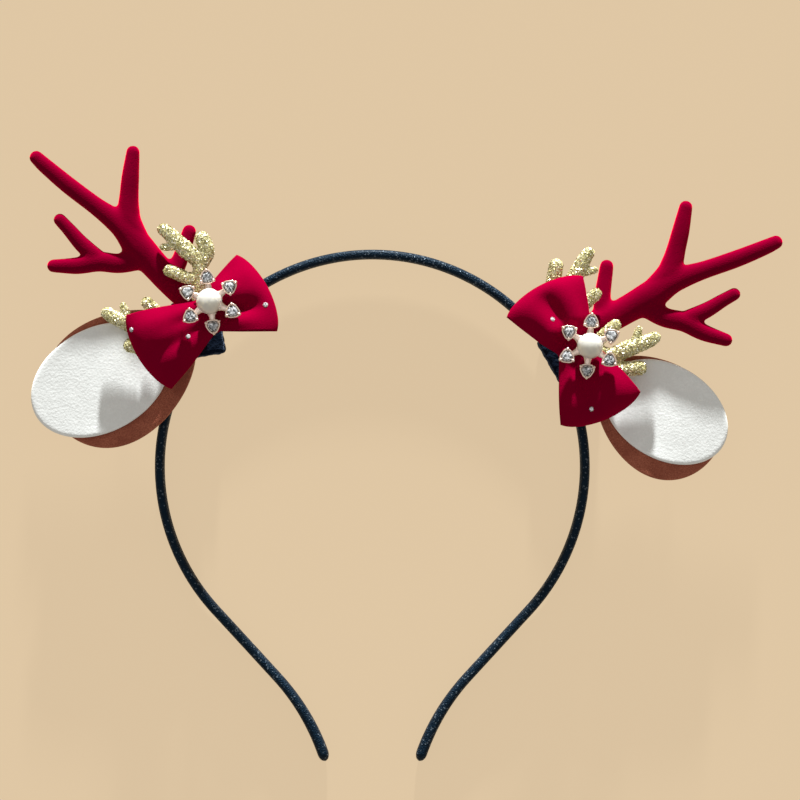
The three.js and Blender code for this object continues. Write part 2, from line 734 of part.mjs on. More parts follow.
// Sprig with its own length of stem, and a fork that may reach further than in the table.
function makeSprig({ flip, stem, reach }) {
  const foot = { ...TWIGS.main[0], y: -stem };
  const tip = TWIGS.fork.at(-1);
  const farTip = { ...tip, x: tip.x + SPRIG.forkLean * reach, y: tip.y + reach };
  const main = [foot, ...TWIGS.main.slice(1)];
  const fork = [...TWIGS.fork.slice(0, -1), farTip];
  const twigs = [main, fork, TWIGS.spur, TWIGS.low];
  return fuse(twigs.map((twig) => {
    const stations = twig.map((station) => ({ ...station, x: flip * station.x }));
    return taperedRod(stations, SPRIG);
  }));
}

function makeCluster(side) {
  const cluster = place(new THREE.Group(), { x: side.brooch.x, y: side.brooch.y });
  cluster.scale.x = side.mirror;
  cluster.updateMatrixWorld();

  const tunnel = loft(bandLengths().map((length) => bandSection(length, GAP)));
  const pad = makePad().rotateZ(degToRad(side.pad.turn)).translate(side.pad.x, side.pad.y, 0);
  const bandHere = tunnel.applyMatrix4(cluster.matrixWorld.clone().invert());
  if (side.mirror < 0) {
    bandHere.setIndex(Array.from(bandHere.getIndex().array).reverse());
  }
  addMesh(cluster, `pad_${side.name}`, cut(pad, bandHere), MATERIAL.pad);

  const antler = place(new THREE.Group(), { ...side.antler, z: HEIGHT.antler });
  cluster.add(antler);
  addMesh(antler, `antler_${side.name}`, makeAntler(side.antler), MATERIAL.flock);

  addEar(cluster, side);

  for (const [way, sprig] of Object.entries(side.sprigs)) {
    const twig = place(new THREE.Group(), { ...sprig, z: HEIGHT.sprig });
    cluster.add(twig);
    addMesh(twig, `glitter_sprig_${way}_${side.name}`, makeSprig(sprig), MATERIAL.glitter);
  }

  const bow = place(new THREE.Group(), { x: side.bow.x, y: side.bow.y, z: HEIGHT.bow });
  cluster.add(bow);
  addMesh(bow, `bow_${side.name}`, makeBow(side), MATERIAL.ribbon);
  side.crystals.forEach((spot, i) => addChip(bow, side, spot, `bow_crystal_${side.name}_${i + 1}`));

  addBrooch(cluster, side);
  return cluster;
}

const headband = new THREE.Group();
addMesh(headband, 'band', makeBand(), MATERIAL.cover);
for (const side of SIDES) {
  headband.add(makeCluster(side));
}

// The origin goes to the middle of the underside.
headband.updateMatrixWorld(true);
const box = new THREE.Box3().setFromObject(headband, true);
const middle = box.getCenter(new THREE.Vector3());
headband.position.set(-middle.x, -middle.y, -box.min.z);

export default headband;
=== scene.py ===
# %% [markdown]
# # A reindeer hair band for Christmas
# The CAD model gives each part of this hair band its true size and place. This lesson dresses
# it: every part is worked out again as a finer surface in the same place, with numpy, and gets a
# finish of its own. The sizes of the pieces are in millimetres until a mesh is made.

import bmesh
import bpy
import numpy as np
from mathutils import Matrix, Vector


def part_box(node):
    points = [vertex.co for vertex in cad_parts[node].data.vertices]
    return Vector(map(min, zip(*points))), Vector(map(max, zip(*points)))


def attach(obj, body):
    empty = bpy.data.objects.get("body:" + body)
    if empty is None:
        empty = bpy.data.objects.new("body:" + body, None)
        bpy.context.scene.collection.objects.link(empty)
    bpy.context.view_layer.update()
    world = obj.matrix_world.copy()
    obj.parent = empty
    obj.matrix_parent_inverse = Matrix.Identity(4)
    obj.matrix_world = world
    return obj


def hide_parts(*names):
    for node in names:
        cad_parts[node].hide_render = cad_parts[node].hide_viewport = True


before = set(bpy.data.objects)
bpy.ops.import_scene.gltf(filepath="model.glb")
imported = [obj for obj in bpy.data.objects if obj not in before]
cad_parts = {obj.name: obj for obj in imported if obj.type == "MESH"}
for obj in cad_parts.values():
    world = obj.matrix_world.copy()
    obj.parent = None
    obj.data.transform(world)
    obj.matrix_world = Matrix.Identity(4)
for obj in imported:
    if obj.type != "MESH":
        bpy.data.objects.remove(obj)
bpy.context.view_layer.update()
print("CAD nodes:", len(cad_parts))

# %% [markdown]
# ## Camera
# The hair band lies on its back, so a camera that looks straight down sees its front. A long
# lens from 0.7 m away keeps the antlers and the band at nearly the same scale.

# %% Camera
MM = 0.001
CAMERA_AT = np.array([-1.67, 15.6, 700.0])
LENS = 111.86
SENSOR_WIDTH = 36.0


def show(name, data):
    """Makes an object of this data and puts it into the scene."""
    shown = bpy.data.objects.new(name, data)
    bpy.context.scene.collection.objects.link(shown)
    return shown


camera = show("camera", bpy.data.cameras.new("camera"))
camera.data.lens = LENS
camera.data.sensor_width = SENSOR_WIDTH
camera.location = CAMERA_AT * MM
bpy.context.scene.camera = camera
print("camera at", tuple(camera.location))

# %% [markdown]
# ## Floor and light
# A pale sand-coloured floor carries the band. It glows by itself, like a paper sweep lit from
# behind, which keeps it even and its shadows faint. The key light comes from far beyond the crown
# and low, so it rakes over the cloth and shows its pile and folds. A sun lamp does that: its rays
# are parallel, so it leaves no bright spot on the floor. A wide panel overhead and a pale sky lift
# the shadows. Every finish starts with the same helper as the floor's: a Principled BSDF with the
# values that are the same all over the surface.

# %% Floor
FLOOR_COLOUR = np.array([0.745, 0.575, 0.377])
FLOOR_GLOW = 0.9
FLOOR_HALF = 3.0
FLOOR_DROP = 0.0002


def new_finish(name, sockets):
    """Starts a material whose Principled BSDF has these constant values."""
    material = bpy.data.materials.new(name)
    material.use_nodes = True
    shader = material.node_tree.nodes["Principled BSDF"]
    for key, value in sockets.items():
        shader.inputs[key].default_value = value
    return material, material.node_tree, shader


floor_mesh = bpy.data.meshes.new("floor")
floor_corners = np.array([[-1, -1, 0], [1, -1, 0], [1, 1, 0], [-1, 1, 0]]) * FLOOR_HALF
floor_mesh.from_pydata(floor_corners - [0, 0, FLOOR_DROP], [], [(0, 1, 2, 3)])
floor = show("floor", floor_mesh)
floor_sockets = {
    "Base Color": (*(FLOOR_COLOUR * (1 - FLOOR_GLOW)), 1.0),
    "Emission Color": (*FLOOR_COLOUR, 1.0),
    "Emission Strength": FLOOR_GLOW,
    "Specular IOR Level": 0.0,
}
floor_finish, _, _ = new_finish("floor", floor_sockets)
floor_mesh.materials.append(floor_finish)
print("floor:", 2 * FLOOR_HALF, "m wide")

# %% Lights
KEY_SPREAD = 0.045
PANEL_SIZE = 1.2
LIGHTS = {
    # name: kind, place in metres, strength, colour
    "key": ("SUN", (0.05, 1.1, 0.15), 12.4, (0.96, 1.0, 1.01)),
    "overhead": ("AREA", (-0.1, -0.1, 1.3), 1.6, (0.95, 0.97, 1.0)),
}
SKY_COLOUR = (0.99, 0.96, 0.9, 1.0)
SKY_STRENGTH = 0.38
for name, (kind, place, strength, colour) in LIGHTS.items():
    lamp = bpy.data.lights.new(name, kind)
    lamp.energy = strength
    lamp.color = colour
    if kind == "SUN":
        lamp.angle = KEY_SPREAD
    else:
        lamp.size = PANEL_SIZE
    holder = show(name, lamp)
    holder.location = place
    holder.rotation_euler = (-holder.location).to_track_quat("-Z", "Y").to_euler()

sky = bpy.data.worlds.new("sky")
sky.use_nodes = True
background = sky.node_tree.nodes["Background"]
background.inputs["Color"].default_value = SKY_COLOUR
background.inputs["Strength"].default_value = SKY_STRENGTH
bpy.context.scene.world = sky
bpy.context.scene.view_settings.view_transform = "Standard"
print("lights:", sorted(LIGHTS))

# %% [markdown]
# ## Shared effects
# Several finishes need the same small irregularities. A pile of short fibres shows as a fine
# grain with broader crushed patches, and sparkle is a scatter of small cells of which only a few
# catch the light. Both are node groups with their own inputs, built once and placed in each finish
# that uses them. They read Object coordinates, so no seam shows, as it would round a flat image.

# %% Pile
PILE_TONES = (-0.5, 2.2)


def node(tree, kind, inputs=(), **settings):
    """Adds a shader node. An input given as a socket is linked, any other value is set on it."""
    made = tree.nodes.new("ShaderNode" + kind)
    for key, value in settings.items():
        setattr(made, key, value)
    for key, value in dict(inputs).items():
        if isinstance(value, bpy.types.NodeSocket):
            tree.links.new(value, made.inputs[key])
        else:
            made.inputs[key].default_value = value
    return made


def spread(tree, value, low, high):
    """Maps a value from 0..1 to low..high, and returns the result's socket."""
    return node(tree, "MapRange", {"Value": value, "To Min": low, "To Max": high}).outputs[0]


def new_group(name, inputs, outputs):
    """Starts a shader node group with named float inputs and outputs."""
    group = bpy.data.node_groups.new(name, "ShaderNodeTree")
    for label, value in inputs.items():
        socket = group.interface.new_socket(label, in_out="INPUT", socket_type="NodeSocketFloat")
        socket.default_value = value
    for label in outputs:
        group.interface.new_socket(label, in_out="OUTPUT", socket_type="NodeSocketFloat")
    return group, group.nodes.new("NodeGroupInput"), group.nodes.new("NodeGroupOutput")


pile, pile_in, pile_out = new_group("pile", {"Grain": 2500.0, "Patch": 160.0}, ["Height", "Tone"])
pile_at = node(pile, "TexCoord").outputs["Object"]
pile_grain = node(pile, "TexNoise", {"Vector": pile_at, "Scale": pile_in.outputs["Grain"], "Detail": 3.0})
pile_patch = node(pile, "TexNoise", {"Vector": pile_at, "Scale": pile_in.outputs["Patch"], "Detail": 4.0})
pile_tone = node(pile, "Math", {0: pile_grain.outputs[0], 1: pile_patch.outputs[0]}, operation="MULTIPLY")
pile.links.new(pile_grain.outputs[0], pile_out.inputs["Height"])
pile.links.new(spread(pile, pile_tone.outputs[0], *PILE_TONES), pile_out.inputs["Tone"])
print("pile group:", len(pile.nodes), "nodes")

# %% Sparkle
sparkle_inputs = {"Cells": 2500.0, "Share": 0.1}
sparkle, sparkle_in, sparkle_out = new_group("sparkle", sparkle_inputs, ["Mask", "Height"])
sparkle_at = node(sparkle, "TexCoord").outputs["Object"]
sparkle_cells = node(sparkle, "TexVoronoi", {"Vector": sparkle_at, "Scale": sparkle_in.outputs["Cells"]})
sparkle_pick = node(sparkle, "TexWhiteNoise", {"Vector": sparkle_cells.outputs["Position"]})
sparkle_test = {0: sparkle_pick.outputs["Value"], 1: sparkle_in.outputs["Share"]}
sparkle_mask = node(sparkle, "Math", sparkle_test, operation="LESS_THAN")
sparkle.links.new(sparkle_mask.outputs[0], sparkle_out.inputs["Mask"])
sparkle.links.new(sparkle_cells.outputs["Distance"], sparkle_out.inputs["Height"])
print("sparkle group:", len(sparkle.nodes), "nodes")

# %% [markdown]
# ## Cover of the band
# The slim band is wrapped in navy-black cloth with a fine grain. Here and there the grain holds
# a speck that catches the light, so the finish combines a dark base with the sparkle group.

# %% Cover finish


def blend_colour(tree, share, low, high):
    """Mixes two colours, each a triple or a socket, by a share from 0 to 1. Returns a socket."""
    low, high = (end if isinstance(end, bpy.types.NodeSocket) else (*end, 1.0) for end in (low, high))
    return node(tree, "Mix", {0: share, 6: low, 7: high}, data_type="RGBA").outputs[2]


def tint(tree, shader, share, low, high):
    """Gives the shader a base colour that goes from low to high with a share from 0 to 1."""
    tree.links.new(blend_colour(tree, share, low, high), shader.inputs["Base Color"])


def place_group(tree, group, values):
    """Puts a node group into a finish with its own values."""
    placed_group = tree.nodes.new("ShaderNodeGroup")
    placed_group.node_tree = group
    for key, value in values.items():
        placed_group.inputs[key].default_value = value
    return placed_group


def add_bump(tree, shader, height, depth, strength=1.0):
    """Tilts the shading by a height map, whose full range is `depth` metres deep."""
    bump = node(tree, "Bump", {"Height": height, "Distance": depth, "Strength": strength})
    tree.links.new(bump.outputs[0], shader.inputs["Normal"])


cover_sockets = {
    "Specular IOR Level": 0.13,
    "Specular Tint": (0.5, 0.75, 1.0, 1.0),
    "Coat Weight": 0.04,
    "Coat Roughness": 0.3,
}
cover, tree, shader = new_finish("cover", cover_sockets)
flecks = place_group(tree, sparkle, {"Cells": 2600.0, "Share": 0.07})
grain = place_group(tree, pile, {"Grain": 2200.0, "Patch": 300.0})
dark = blend_colour(tree, grain.outputs["Tone"], (0.0015, 0.007, 0.015), (0.004, 0.016, 0.032))
tint(tree, shader, flecks.outputs["Mask"], dark, (0.07, 0.09, 0.11))
tree.links.new(spread(tree, flecks.outputs["Mask"], 0.5, 0.25), shader.inputs["Roughness"])
add_bump(tree, shader, flecks.outputs["Height"], depth=0.00025, strength=0.8)
print("cover:", len(tree.nodes), "nodes")

# %% [markdown]
# ## Grids of faces
# Most shapes here are a grid of points: rows along a path, columns around a section. The faces
# of such a grid follow from its size alone, so one function makes them for every piece. The last
# column of a closed grid joins the first, and flat caps close its ends.

# %% Grids of faces


def grid_faces(rows, columns, closed=False, start=0):
    """Quads between neighbouring rows and columns. `closed` joins the last column to the first."""
    across = columns if closed else columns - 1
    i, j = np.meshgrid(np.arange(rows - 1), np.arange(across), indexing="ij")
    k = (j + 1) % columns
    near, far = i * columns, (i + 1) * columns
    quads = np.stack([near + j, near + k, far + k, far + j], -1)
    return (start + quads.reshape(-1, 4)).tolist()


def skin_faces(rows, columns, start=0):
    """Faces of a closed skin: a grid that wraps round, with a flat cap on its first and last row."""
    first = start + np.arange(columns)
    last = first + (rows - 1) * columns
    return [*grid_faces(rows, columns, True, start), first[::-1].tolist(), last.tolist()]


def join_skins(skins):
    """Puts grids of points (rows, columns, 3), each a closed skin, into one list of points and faces."""
    points, faces, start = [], [], 0
    for skin in skins:
        rows, columns, _ = skin.shape
        faces += skin_faces(rows, columns, start)
        points.append(skin.reshape(-1, 3))
        start += rows * columns
    return np.concatenate(points), faces


print("a skin of 3 rings with 4 points each has", len(skin_faces(3, 4)), "faces")

# %% [markdown]
# ## Band
# The band follows one line: a big arc over the crown, two straight legs and a flare at each end
# that bends the other way. Its section is a rounded rectangle, thin across the head and deeper
# front to back, and it closes in a round tip. A shallow groove on the inside is the seam of its
# cover. A bevelled curve object would do for a plain rod, but a section that is worked out ring by
# ring can also swell, sink towards the ends and carry the seam.

# %% Small curves


def lerp(low, high, share):
    """Mix of two values: low at share 0, high at share 1."""
    return low + (high - low) * share


def smoothstep(value, low, high):
    """Rises from 0 at low to 1 at high along the curve 3 s^2 - 2 s^3."""
    share = np.clip((value - low) / (high - low), 0, 1)
    return share * share * (3 - 2 * share)


def bell(value, width):
    """Bell curve of height 1: e to the power of minus (value / width) squared."""
    return np.exp(-((value / width) ** 2))


def crowded(count, share):
    """Steps from -1 to 1 that crowd towards both ends: even steps, mixed with a share of a sine."""
    even = np.linspace(-1, 1, count)
    return lerp(even, np.sin(even * np.pi / 2), share)


def square_reach(c, s, power):
    """Distance from the middle to the rounded square |x|^p + |y|^p = 1 in the direction (c, s)."""
    return (np.abs(c) ** power + np.abs(s) ** power) ** (-1 / power)


def around(sides):
    """Angles of evenly spaced points round a circle."""
    return np.linspace(0, 2 * np.pi, sides, endpoint=False)


print("five steps that crowd:", np.round(crowded(5, 0.35), 2))

# %% Skin of the band
ARC_RADIUS = 59.5
ARC_ANGLE = np.radians(132.5)
STRAIGHT = 25.5
FLARE_RADIUS = 62.5
FLARE_ANGLE = np.radians(25.0)
ARC = ARC_RADIUS * ARC_ANGLE
FLARE = FLARE_RADIUS * FLARE_ANGLE
HALF = ARC + STRAIGHT + FLARE
PAD_REACH = ARC_RADIUS * np.radians(75.0)
BAND_THICK = 2.7
BAND_END_THICK = 3.1
BAND_DEEP = 5.0
BAND_SQUARENESS = 2.8
CLUSTER_HEIGHT = 4.0
END_HEIGHT = 2.5
TIP_LENGTH = 2.4
SEAM_DEPTH = 0.18
SEAM_WIDTH = 0.12
BAND_CROWDING = 0.35
# The rings of a round tip stop a little short of its pole
BAND_TIP_END = 0.98


def band_line(length):
    """Middle of the band and its outward direction at signed lengths from the crown: turn along
    the arc, run along the leg, then turn back along the flare."""
    sign, run = np.sign(length), np.abs(length)
    turn = np.minimum(run, ARC) / ARC_RADIUS
    leg = np.clip(run - ARC, 0, STRAIGHT)
    bend = np.maximum(run - ARC - STRAIGHT, 0) / FLARE_RADIUS
    out, back = FLARE_RADIUS * (1 - np.cos(bend)), FLARE_RADIUS * np.sin(bend)
    x = (ARC_RADIUS + out) * np.sin(turn) + (leg + back) * np.cos(turn)
    y = (ARC_RADIUS + out) * np.cos(turn) - (leg + back) * np.sin(turn)
    heading = turn - bend
    flat = np.zeros_like(x)
    outward = np.stack([sign * np.sin(heading), np.cos(heading), flat], -1)
    return np.stack([sign * x, y, flat], -1), outward


def band_skin(steps, sides):
    """Rounded rectangle carried along the band's line. Its thickness grows in the flare, its height
    sinks from the clusters to the ends, and both tips close along a quarter circle."""
    length = HALF * crowded(steps, BAND_CROWDING)
    angle = around(sides)
    middle, outward = band_line(length)
    run = np.minimum(1, (HALF - np.abs(length)) / TIP_LENGTH)
    tip = np.sqrt(np.maximum(1 - BAND_TIP_END * (1 - run) ** 2, 0))
    to_end = smoothstep(np.abs(length), HALF - FLARE, HALF)
    thick = tip * lerp(BAND_THICK, BAND_END_THICK, to_end) / 2
    c, s = np.cos(angle), np.sin(angle)
    reach = square_reach(c, s, BAND_SQUARENESS)
    groove = 1 - SEAM_DEPTH * bell(angle - np.pi, SEAM_WIDTH)
    height = lerp(CLUSTER_HEIGHT, END_HEIGHT, smoothstep(np.abs(length), PAD_REACH, ARC + STRAIGHT))
    across = thick[:, None] * (reach * c * groove)
    points = middle[:, None, :] + outward[:, None, :] * across[..., None]
    points[..., 2] = height[:, None] + (tip * BAND_DEEP / 2)[:, None] * (reach * s)
    return points


print("band line:", round(2 * HALF, 1), "mm long")

# %% Band
# Half of the solid band's thickness at the crown, which is a little under its cover's
CROWN_HALF = 1.338


def bare_mesh(name, points, faces, turn_out=True):
    """Mesh in millimetres, with doubled points merged and its faces turned outwards."""
    mesh = bpy.data.meshes.new(name)
    mesh.from_pydata(points, [], faces)
    work = bmesh.new()
    work.from_mesh(mesh)
    bmesh.ops.remove_doubles(work, verts=work.verts, dist=1e-5)
    if turn_out:
        bmesh.ops.recalc_face_normals(work, faces=work.faces)
    work.to_mesh(mesh)
    work.free()
    return mesh


def points_of(mesh):
    """The mesh's points as an array of shape (count, 3)."""
    flat = np.empty(3 * len(mesh.vertices), np.float32)
    mesh.vertices.foreach_get("co", flat)
    return flat.reshape(-1, 3).astype(float)


def add_piece(mesh, finish, nodes, smooth=True):
    """Shows a millimetre mesh as a piece of the object, in place of these CAD nodes."""
    mesh.vertices.foreach_set("co", points_of(mesh).ravel() * MM)
    mesh.polygons.foreach_set("use_smooth", np.full(len(mesh.polygons), smooth))
    mesh.materials.append(finish)
    mesh.update()
    piece = show(mesh.name, mesh)
    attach(piece, "root")
    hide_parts(*nodes)
    print(piece.name, len(mesh.polygons), "faces")
    return piece


band_low, band_high = (np.array(corner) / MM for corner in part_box("band"))
BAND_SHIFT = np.array([(band_low[0] + band_high[0]) / 2, band_high[1] - ARC_RADIUS - CROWN_HALF, 0])
band_mesh = bare_mesh("band_cover", *join_skins([band_skin(steps=560, sides=40) + BAND_SHIFT]))
add_piece(band_mesh, cover, ["band"])

# %% [markdown]
# ## Felt and flock
# Felt, velvet and flock are all made of short fibres. They scatter light at grazing angles, which
# the shader's sheen gives, and look deeper when seen from straight above. Hair particles could
# stand for the fibres, but these are finer than a pixel, so a grain in the shading is enough.

# %% Pile finishes


def pile_finish(name, low, high, sheen, sheen_colour, grain, patch, depth, sheen_rough=0.4, rough=0.95):
    """Cloth of short fibres: two tones mixed by the pile group, with its grain as a bump."""
    sockets = {
        "Roughness": rough,
        "Specular IOR Level": 0.0,
        "Sheen Weight": sheen,
        "Sheen Roughness": sheen_rough,
        "Sheen Tint": (*sheen_colour, 1.0),
    }
    made, tree, shader = new_finish(name, sockets)
    fibres = place_group(tree, pile, {"Grain": grain, "Patch": patch})
    tint(tree, shader, fibres.outputs["Tone"], low, high)
    add_bump(tree, shader, fibres.outputs["Height"], depth)
    return made


flock = pile_finish(
    "flock", (0.145, 0.0, 0.014), (0.18, 0.0, 0.017), sheen=1.0, sheen_colour=(1.0, 0.0, 0.05),
    grain=3200.0, patch=90.0, depth=0.0001, sheen_rough=0.5,
)
velvet = pile_finish(
    "velvet", (0.30, 0.085, 0.052), (0.56, 0.19, 0.115), sheen=0.6, sheen_colour=(1.0, 0.55, 0.34),
    grain=2600.0, patch=130.0, depth=0.0003,
)
felt = pile_finish(
    "felt", (0.85, 0.855, 0.83), (0.96, 0.965, 0.94), sheen=0.1, sheen_colour=(1.0, 1.0, 1.0),
    grain=1500.0, patch=320.0, depth=0.00006,
)
pad_felt = pile_finish(
    "pad_felt", (0.004, 0.007, 0.015), (0.016, 0.024, 0.042), sheen=0.3, sheen_colour=(0.4, 0.5, 0.7),
    grain=1800.0, patch=300.0, depth=0.0004,
)
print("pile finishes:", [finish.name for finish in (flock, velvet, felt, pad_felt)])

# %% [markdown]
# ## Where the clusters are
# Each side of the band carries a cluster with its own small frame: x runs outwards from the
# middle of the brooch and y towards the crown. The left cluster is mirrored. The pearls of the
# CAD model mark both middles, so nothing has to be measured twice.

# %% Cluster frames
# Places are x and y in the cluster's frame, and turns are in degrees about z.
# pad, antler: x, y, turn. brow: turn, slide outwards and sink of the brow tine
# ear, felt: x, y, turn, size. sprigs: x, y, turn, flip, length of the stem, reach of the fork
# bow: x, y, turn of the knot, depth of its back. chips: number of the loop, place along and across it
# dent: place across the loop, its drift outwards, its depth, power that shifts it along
SIDES = {
    "left": {
        "mirror": -1,
        "brooch_turn": -7.0,
        "pad": (5.1, -6.5, -10.0),
        "antler": (0.0, 0.0, 0.0),
        "brow": (0.0, 0.0, 0.0),
        "ear": (25.7, -19.6, -34.0, 1.0),
        "felt": (5.7, 2.1, 5.0, 1.0),
        "sprigs": {"up": (4.2, 3.6, 0.0, 1, 3.0, 0.0), "out": (10.1, -4.95, -112.9, -1, 4.5, 0.0)},
        "bow": (1.2, -3.7, -27.0, 7.4),
        "lobes": [
            {
                "turn": -31.5, "length": 21.0, "skew": 0.0, "depth": 4.6, "swell": 0.75, "twist": 0.0,
                "falls": (0.75, 0.75), "dent": (-0.1, -0.15, 0.25, 1.5),
            },
            {
                "turn": 155.0, "length": 17.3, "skew": 0.6, "depth": 4.0, "swell": 0.45, "twist": 0.15,
                "falls": (0.75, 0.1), "dent": (0.05, 0.35, 0.75, 0.8),
            },
        ],
        "chips": [(0, 0.95, 0.66), (0, 0.36, -0.33), (1, 0.91, 0.4)],
    },
    "right": {
        "mirror": 1,
        "brooch_turn": -5.0,
        "pad": (-3.4, -2.2, 29.5),
        "antler": (-6.5, 5.8, -18.1),
        "brow": (-8.0, -2.0, 0.9),
        "ear": (20.0, -18.7, -42.0, 0.87),
        "felt": (1.25, 2.2, 11.0, 0.905),
        "sprigs": {"up": (-3.0, 6.9, 18.7, 1, 0.5, 2.0), "out": (-0.3, 1.3, -115.9, -1, 3.0, 2.4)},
        "bow": (-3.3, -0.1, 115.0, 4.4),
        "lobes": [
            {
                "turn": 121.5, "length": 18.4, "skew": 0.6, "depth": 4.0, "swell": 0.42, "twist": 0.08,
                "falls": (0.75, 0.75), "dent": (0.0, 0.0, 0.75, 1.6),
            },
            {
                "turn": -67.8, "length": 20.5, "skew": 0.0, "depth": 5.0, "swell": 0.85, "twist": -0.1,
                "falls": (0.75, 0.75), "dent": (-0.05, -0.2, 0.4, 1.2),
            },
        ],
        "chips": [(0, 0.52, 0.27), (1, 0.845, -0.27)],
    },
}


def box_middle(name):
    """Middle of a CAD node's box, in millimetres."""
    low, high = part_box(name)
    return (np.array(low) + np.array(high)) / (2 * MM)


def turned(points, degrees):
    """Points turned about z."""
    c, s = np.cos(np.radians(degrees)), np.sin(np.radians(degrees))
    return points @ np.array([[c, s, 0], [-s, c, 0], [0, 0, 1]])


def placed(points, side, place, turn=0.0):
    """A piece's own points turned about z and moved to a place of the cluster. The cluster is then
    mirrored where it is the left one, and moved to its pearl."""
    origin = box_middle(f"pearl_{side}") * [1, 1, 0]
    return (turned(points, turn) + place) * [SIDES[side]["mirror"], 1, 1] + origin


for side in SIDES:
    print(side, "cluster at", np.round(placed(np.zeros(3), side, [0, 0, 0]), 2))

# %% [markdown]
# ## Pads
# Under each cluster a folded piece of felt is glued round the band. Its shape is a box pushed out
# to a rounded form: every point of a cube's grid is divided by its own p-norm, so a high power
# keeps flat faces and short soft edges. A bevelled cube has such edges too, but no points on its
# faces for the felt's small waves.

# %% Pads
PAD_HALF = np.array([6.5, 8.0, 4.0])
PAD_POWER = 14
PAD_CELLS = 44
PAD_WAVE = 0.012
PAD_WAVE_SIZE = 2.2


def ripple(points, size, seed, waves=40):
    """Smooth random field of about unit height: a sum of sine waves in seeded directions, with
    wavelengths near `size`."""
    rng = np.random.default_rng(seed)
    direction = rng.normal(size=(3, waves))
    direction /= np.linalg.norm(direction, axis=0)
    pitch = 2 * np.pi / (size * rng.uniform(0.7, 1.4, waves))
    phase = rng.uniform(0, 2 * np.pi, waves)
    return np.sin(points @ (direction * pitch) + phase).sum(-1) * np.sqrt(2 / waves)


def cube_grids(cells):
    """Six square grids on the faces of the cube from -1 to 1, each (cells+1, cells+1, 3)."""
    t = np.linspace(-1, 1, cells + 1)
    a, b = np.meshgrid(t, t, indexing="ij")
    one = np.ones_like(a)
    sheets = [np.stack(axes, -1) for axes in ((a, b, one), (one, a, b), (b, one, a))]
    return sheets + [-sheet for sheet in sheets]


def rounded_box(half, power, cells):
    """Points of the p-norm ball |x|^p + |y|^p + |z|^p = 1, stretched to a box, as points and faces."""
    cube = np.concatenate([sheet.reshape(-1, 3) for sheet in cube_grids(cells)])
    norm = (np.abs(cube) ** power).sum(-1, keepdims=True) ** (1 / power)
    side = cells + 1
    faces = [face for k in range(6) for face in grid_faces(side, side, False, k * side * side)]
    return cube / norm * half, faces


for side, spec in SIDES.items():
    x, y, turn = spec["pad"]
    pad_points, pad_faces = rounded_box(PAD_HALF, PAD_POWER, PAD_CELLS)
    pad_points *= 1 + PAD_WAVE * ripple(pad_points, PAD_WAVE_SIZE, seed=5)[:, None]
    pad_points = placed(pad_points, side, [x, y, PAD_HALF[2]], turn)
    pad = add_piece(bare_mesh(f"pad_felt_{side}", pad_points, pad_faces), pad_felt, [f"pad_{side}"])

# %% [markdown]
# ## Antlers
# An antler is five tapered rods that grow out of each other. Each rod is a circle carried along a
# smooth line through a few stations, with a round tip. Overlapping rods meet in a hard crease. The
# Remesh modifier rebuilds their union as one skin, and then the creases are filled until every
# fork is as round as on a moulded antler. Metaballs would also flow together, but they swell where
# they meet, and the sizes of the tines would be hard to keep.

# %% Rods
# Stations of each tine: x, y, height above the antler's middle, radius
TINES = {
    "beam": [
        (3.5, -1.8, 0, 3.85), (11.6, 5.7, 0, 3.85), (16.2, 10.5, 0.2, 3.9), (20.6, 15.4, 0.6, 4.2),
        (24.1, 20.3, 1, 3.75), (27.4, 23.2, 1.2, 3.15), (32.6, 27, 1.6, 2.5), (40, 32.6, 2.2, 2.4),
        (46.2, 37.8, 2.8, 2.15), (48.8, 40.2, 3, 1.9),
    ],
    "crown": [
        (19.5, 13.5, 0.6, 3.6), (23.2, 21.7, 1, 3.5), (23.6, 26, 1.2, 3.05), (23.4, 30.1, 1.4, 2.65),
        (23, 35.4, 1.6, 2.4), (22.3, 41.8, 1.8, 1.85),
    ],
    "lower": [
        (20.4, 12.8, 0.5, 3.4), (26.1, 11.2, 0.8, 2.75), (31.9, 11.6, 1.2, 2.75), (37.7, 10.5, 1.6, 2.35),
        (44.2, 10.4, 2, 1.8),
    ],
    "side": [(32, 12.3, 1.2, 2.5), (36.6, 16.6, 1.7, 2.2), (39.9, 20.4, 2.1, 1.9), (42.4, 23.1, 2.3, 1.75)],
    "brow": [(11.6, 7.6, 0, 2.6), (9.4, 12.6, -0.4, 2.25), (8, 16.9, -0.8, 2.05), (7, 20.1, -1, 1.9)],
}
ROD_TIP_END = 0.97


def smooth_line(stations, steps):
    """Catmull-Rom curve through the stations, evaluated `steps` times on each stretch."""
    p = np.asarray(stations, float)
    p = np.concatenate([[2 * p[0] - p[1]], p, [2 * p[-1] - p[-2]]])
    t = np.arange(0, len(p) - 3 + 1e-9, 1 / steps)
    i = np.minimum(t.astype(int), len(p) - 4)
    f = (t - i)[:, None]
    a, b, c, d = p[i], p[i + 1], p[i + 2], p[i + 3]
    return b + 0.5 * f * (c - a + f * (2 * a - 5 * b + 4 * c - d + f * (3 * (b - c) + d - a)))


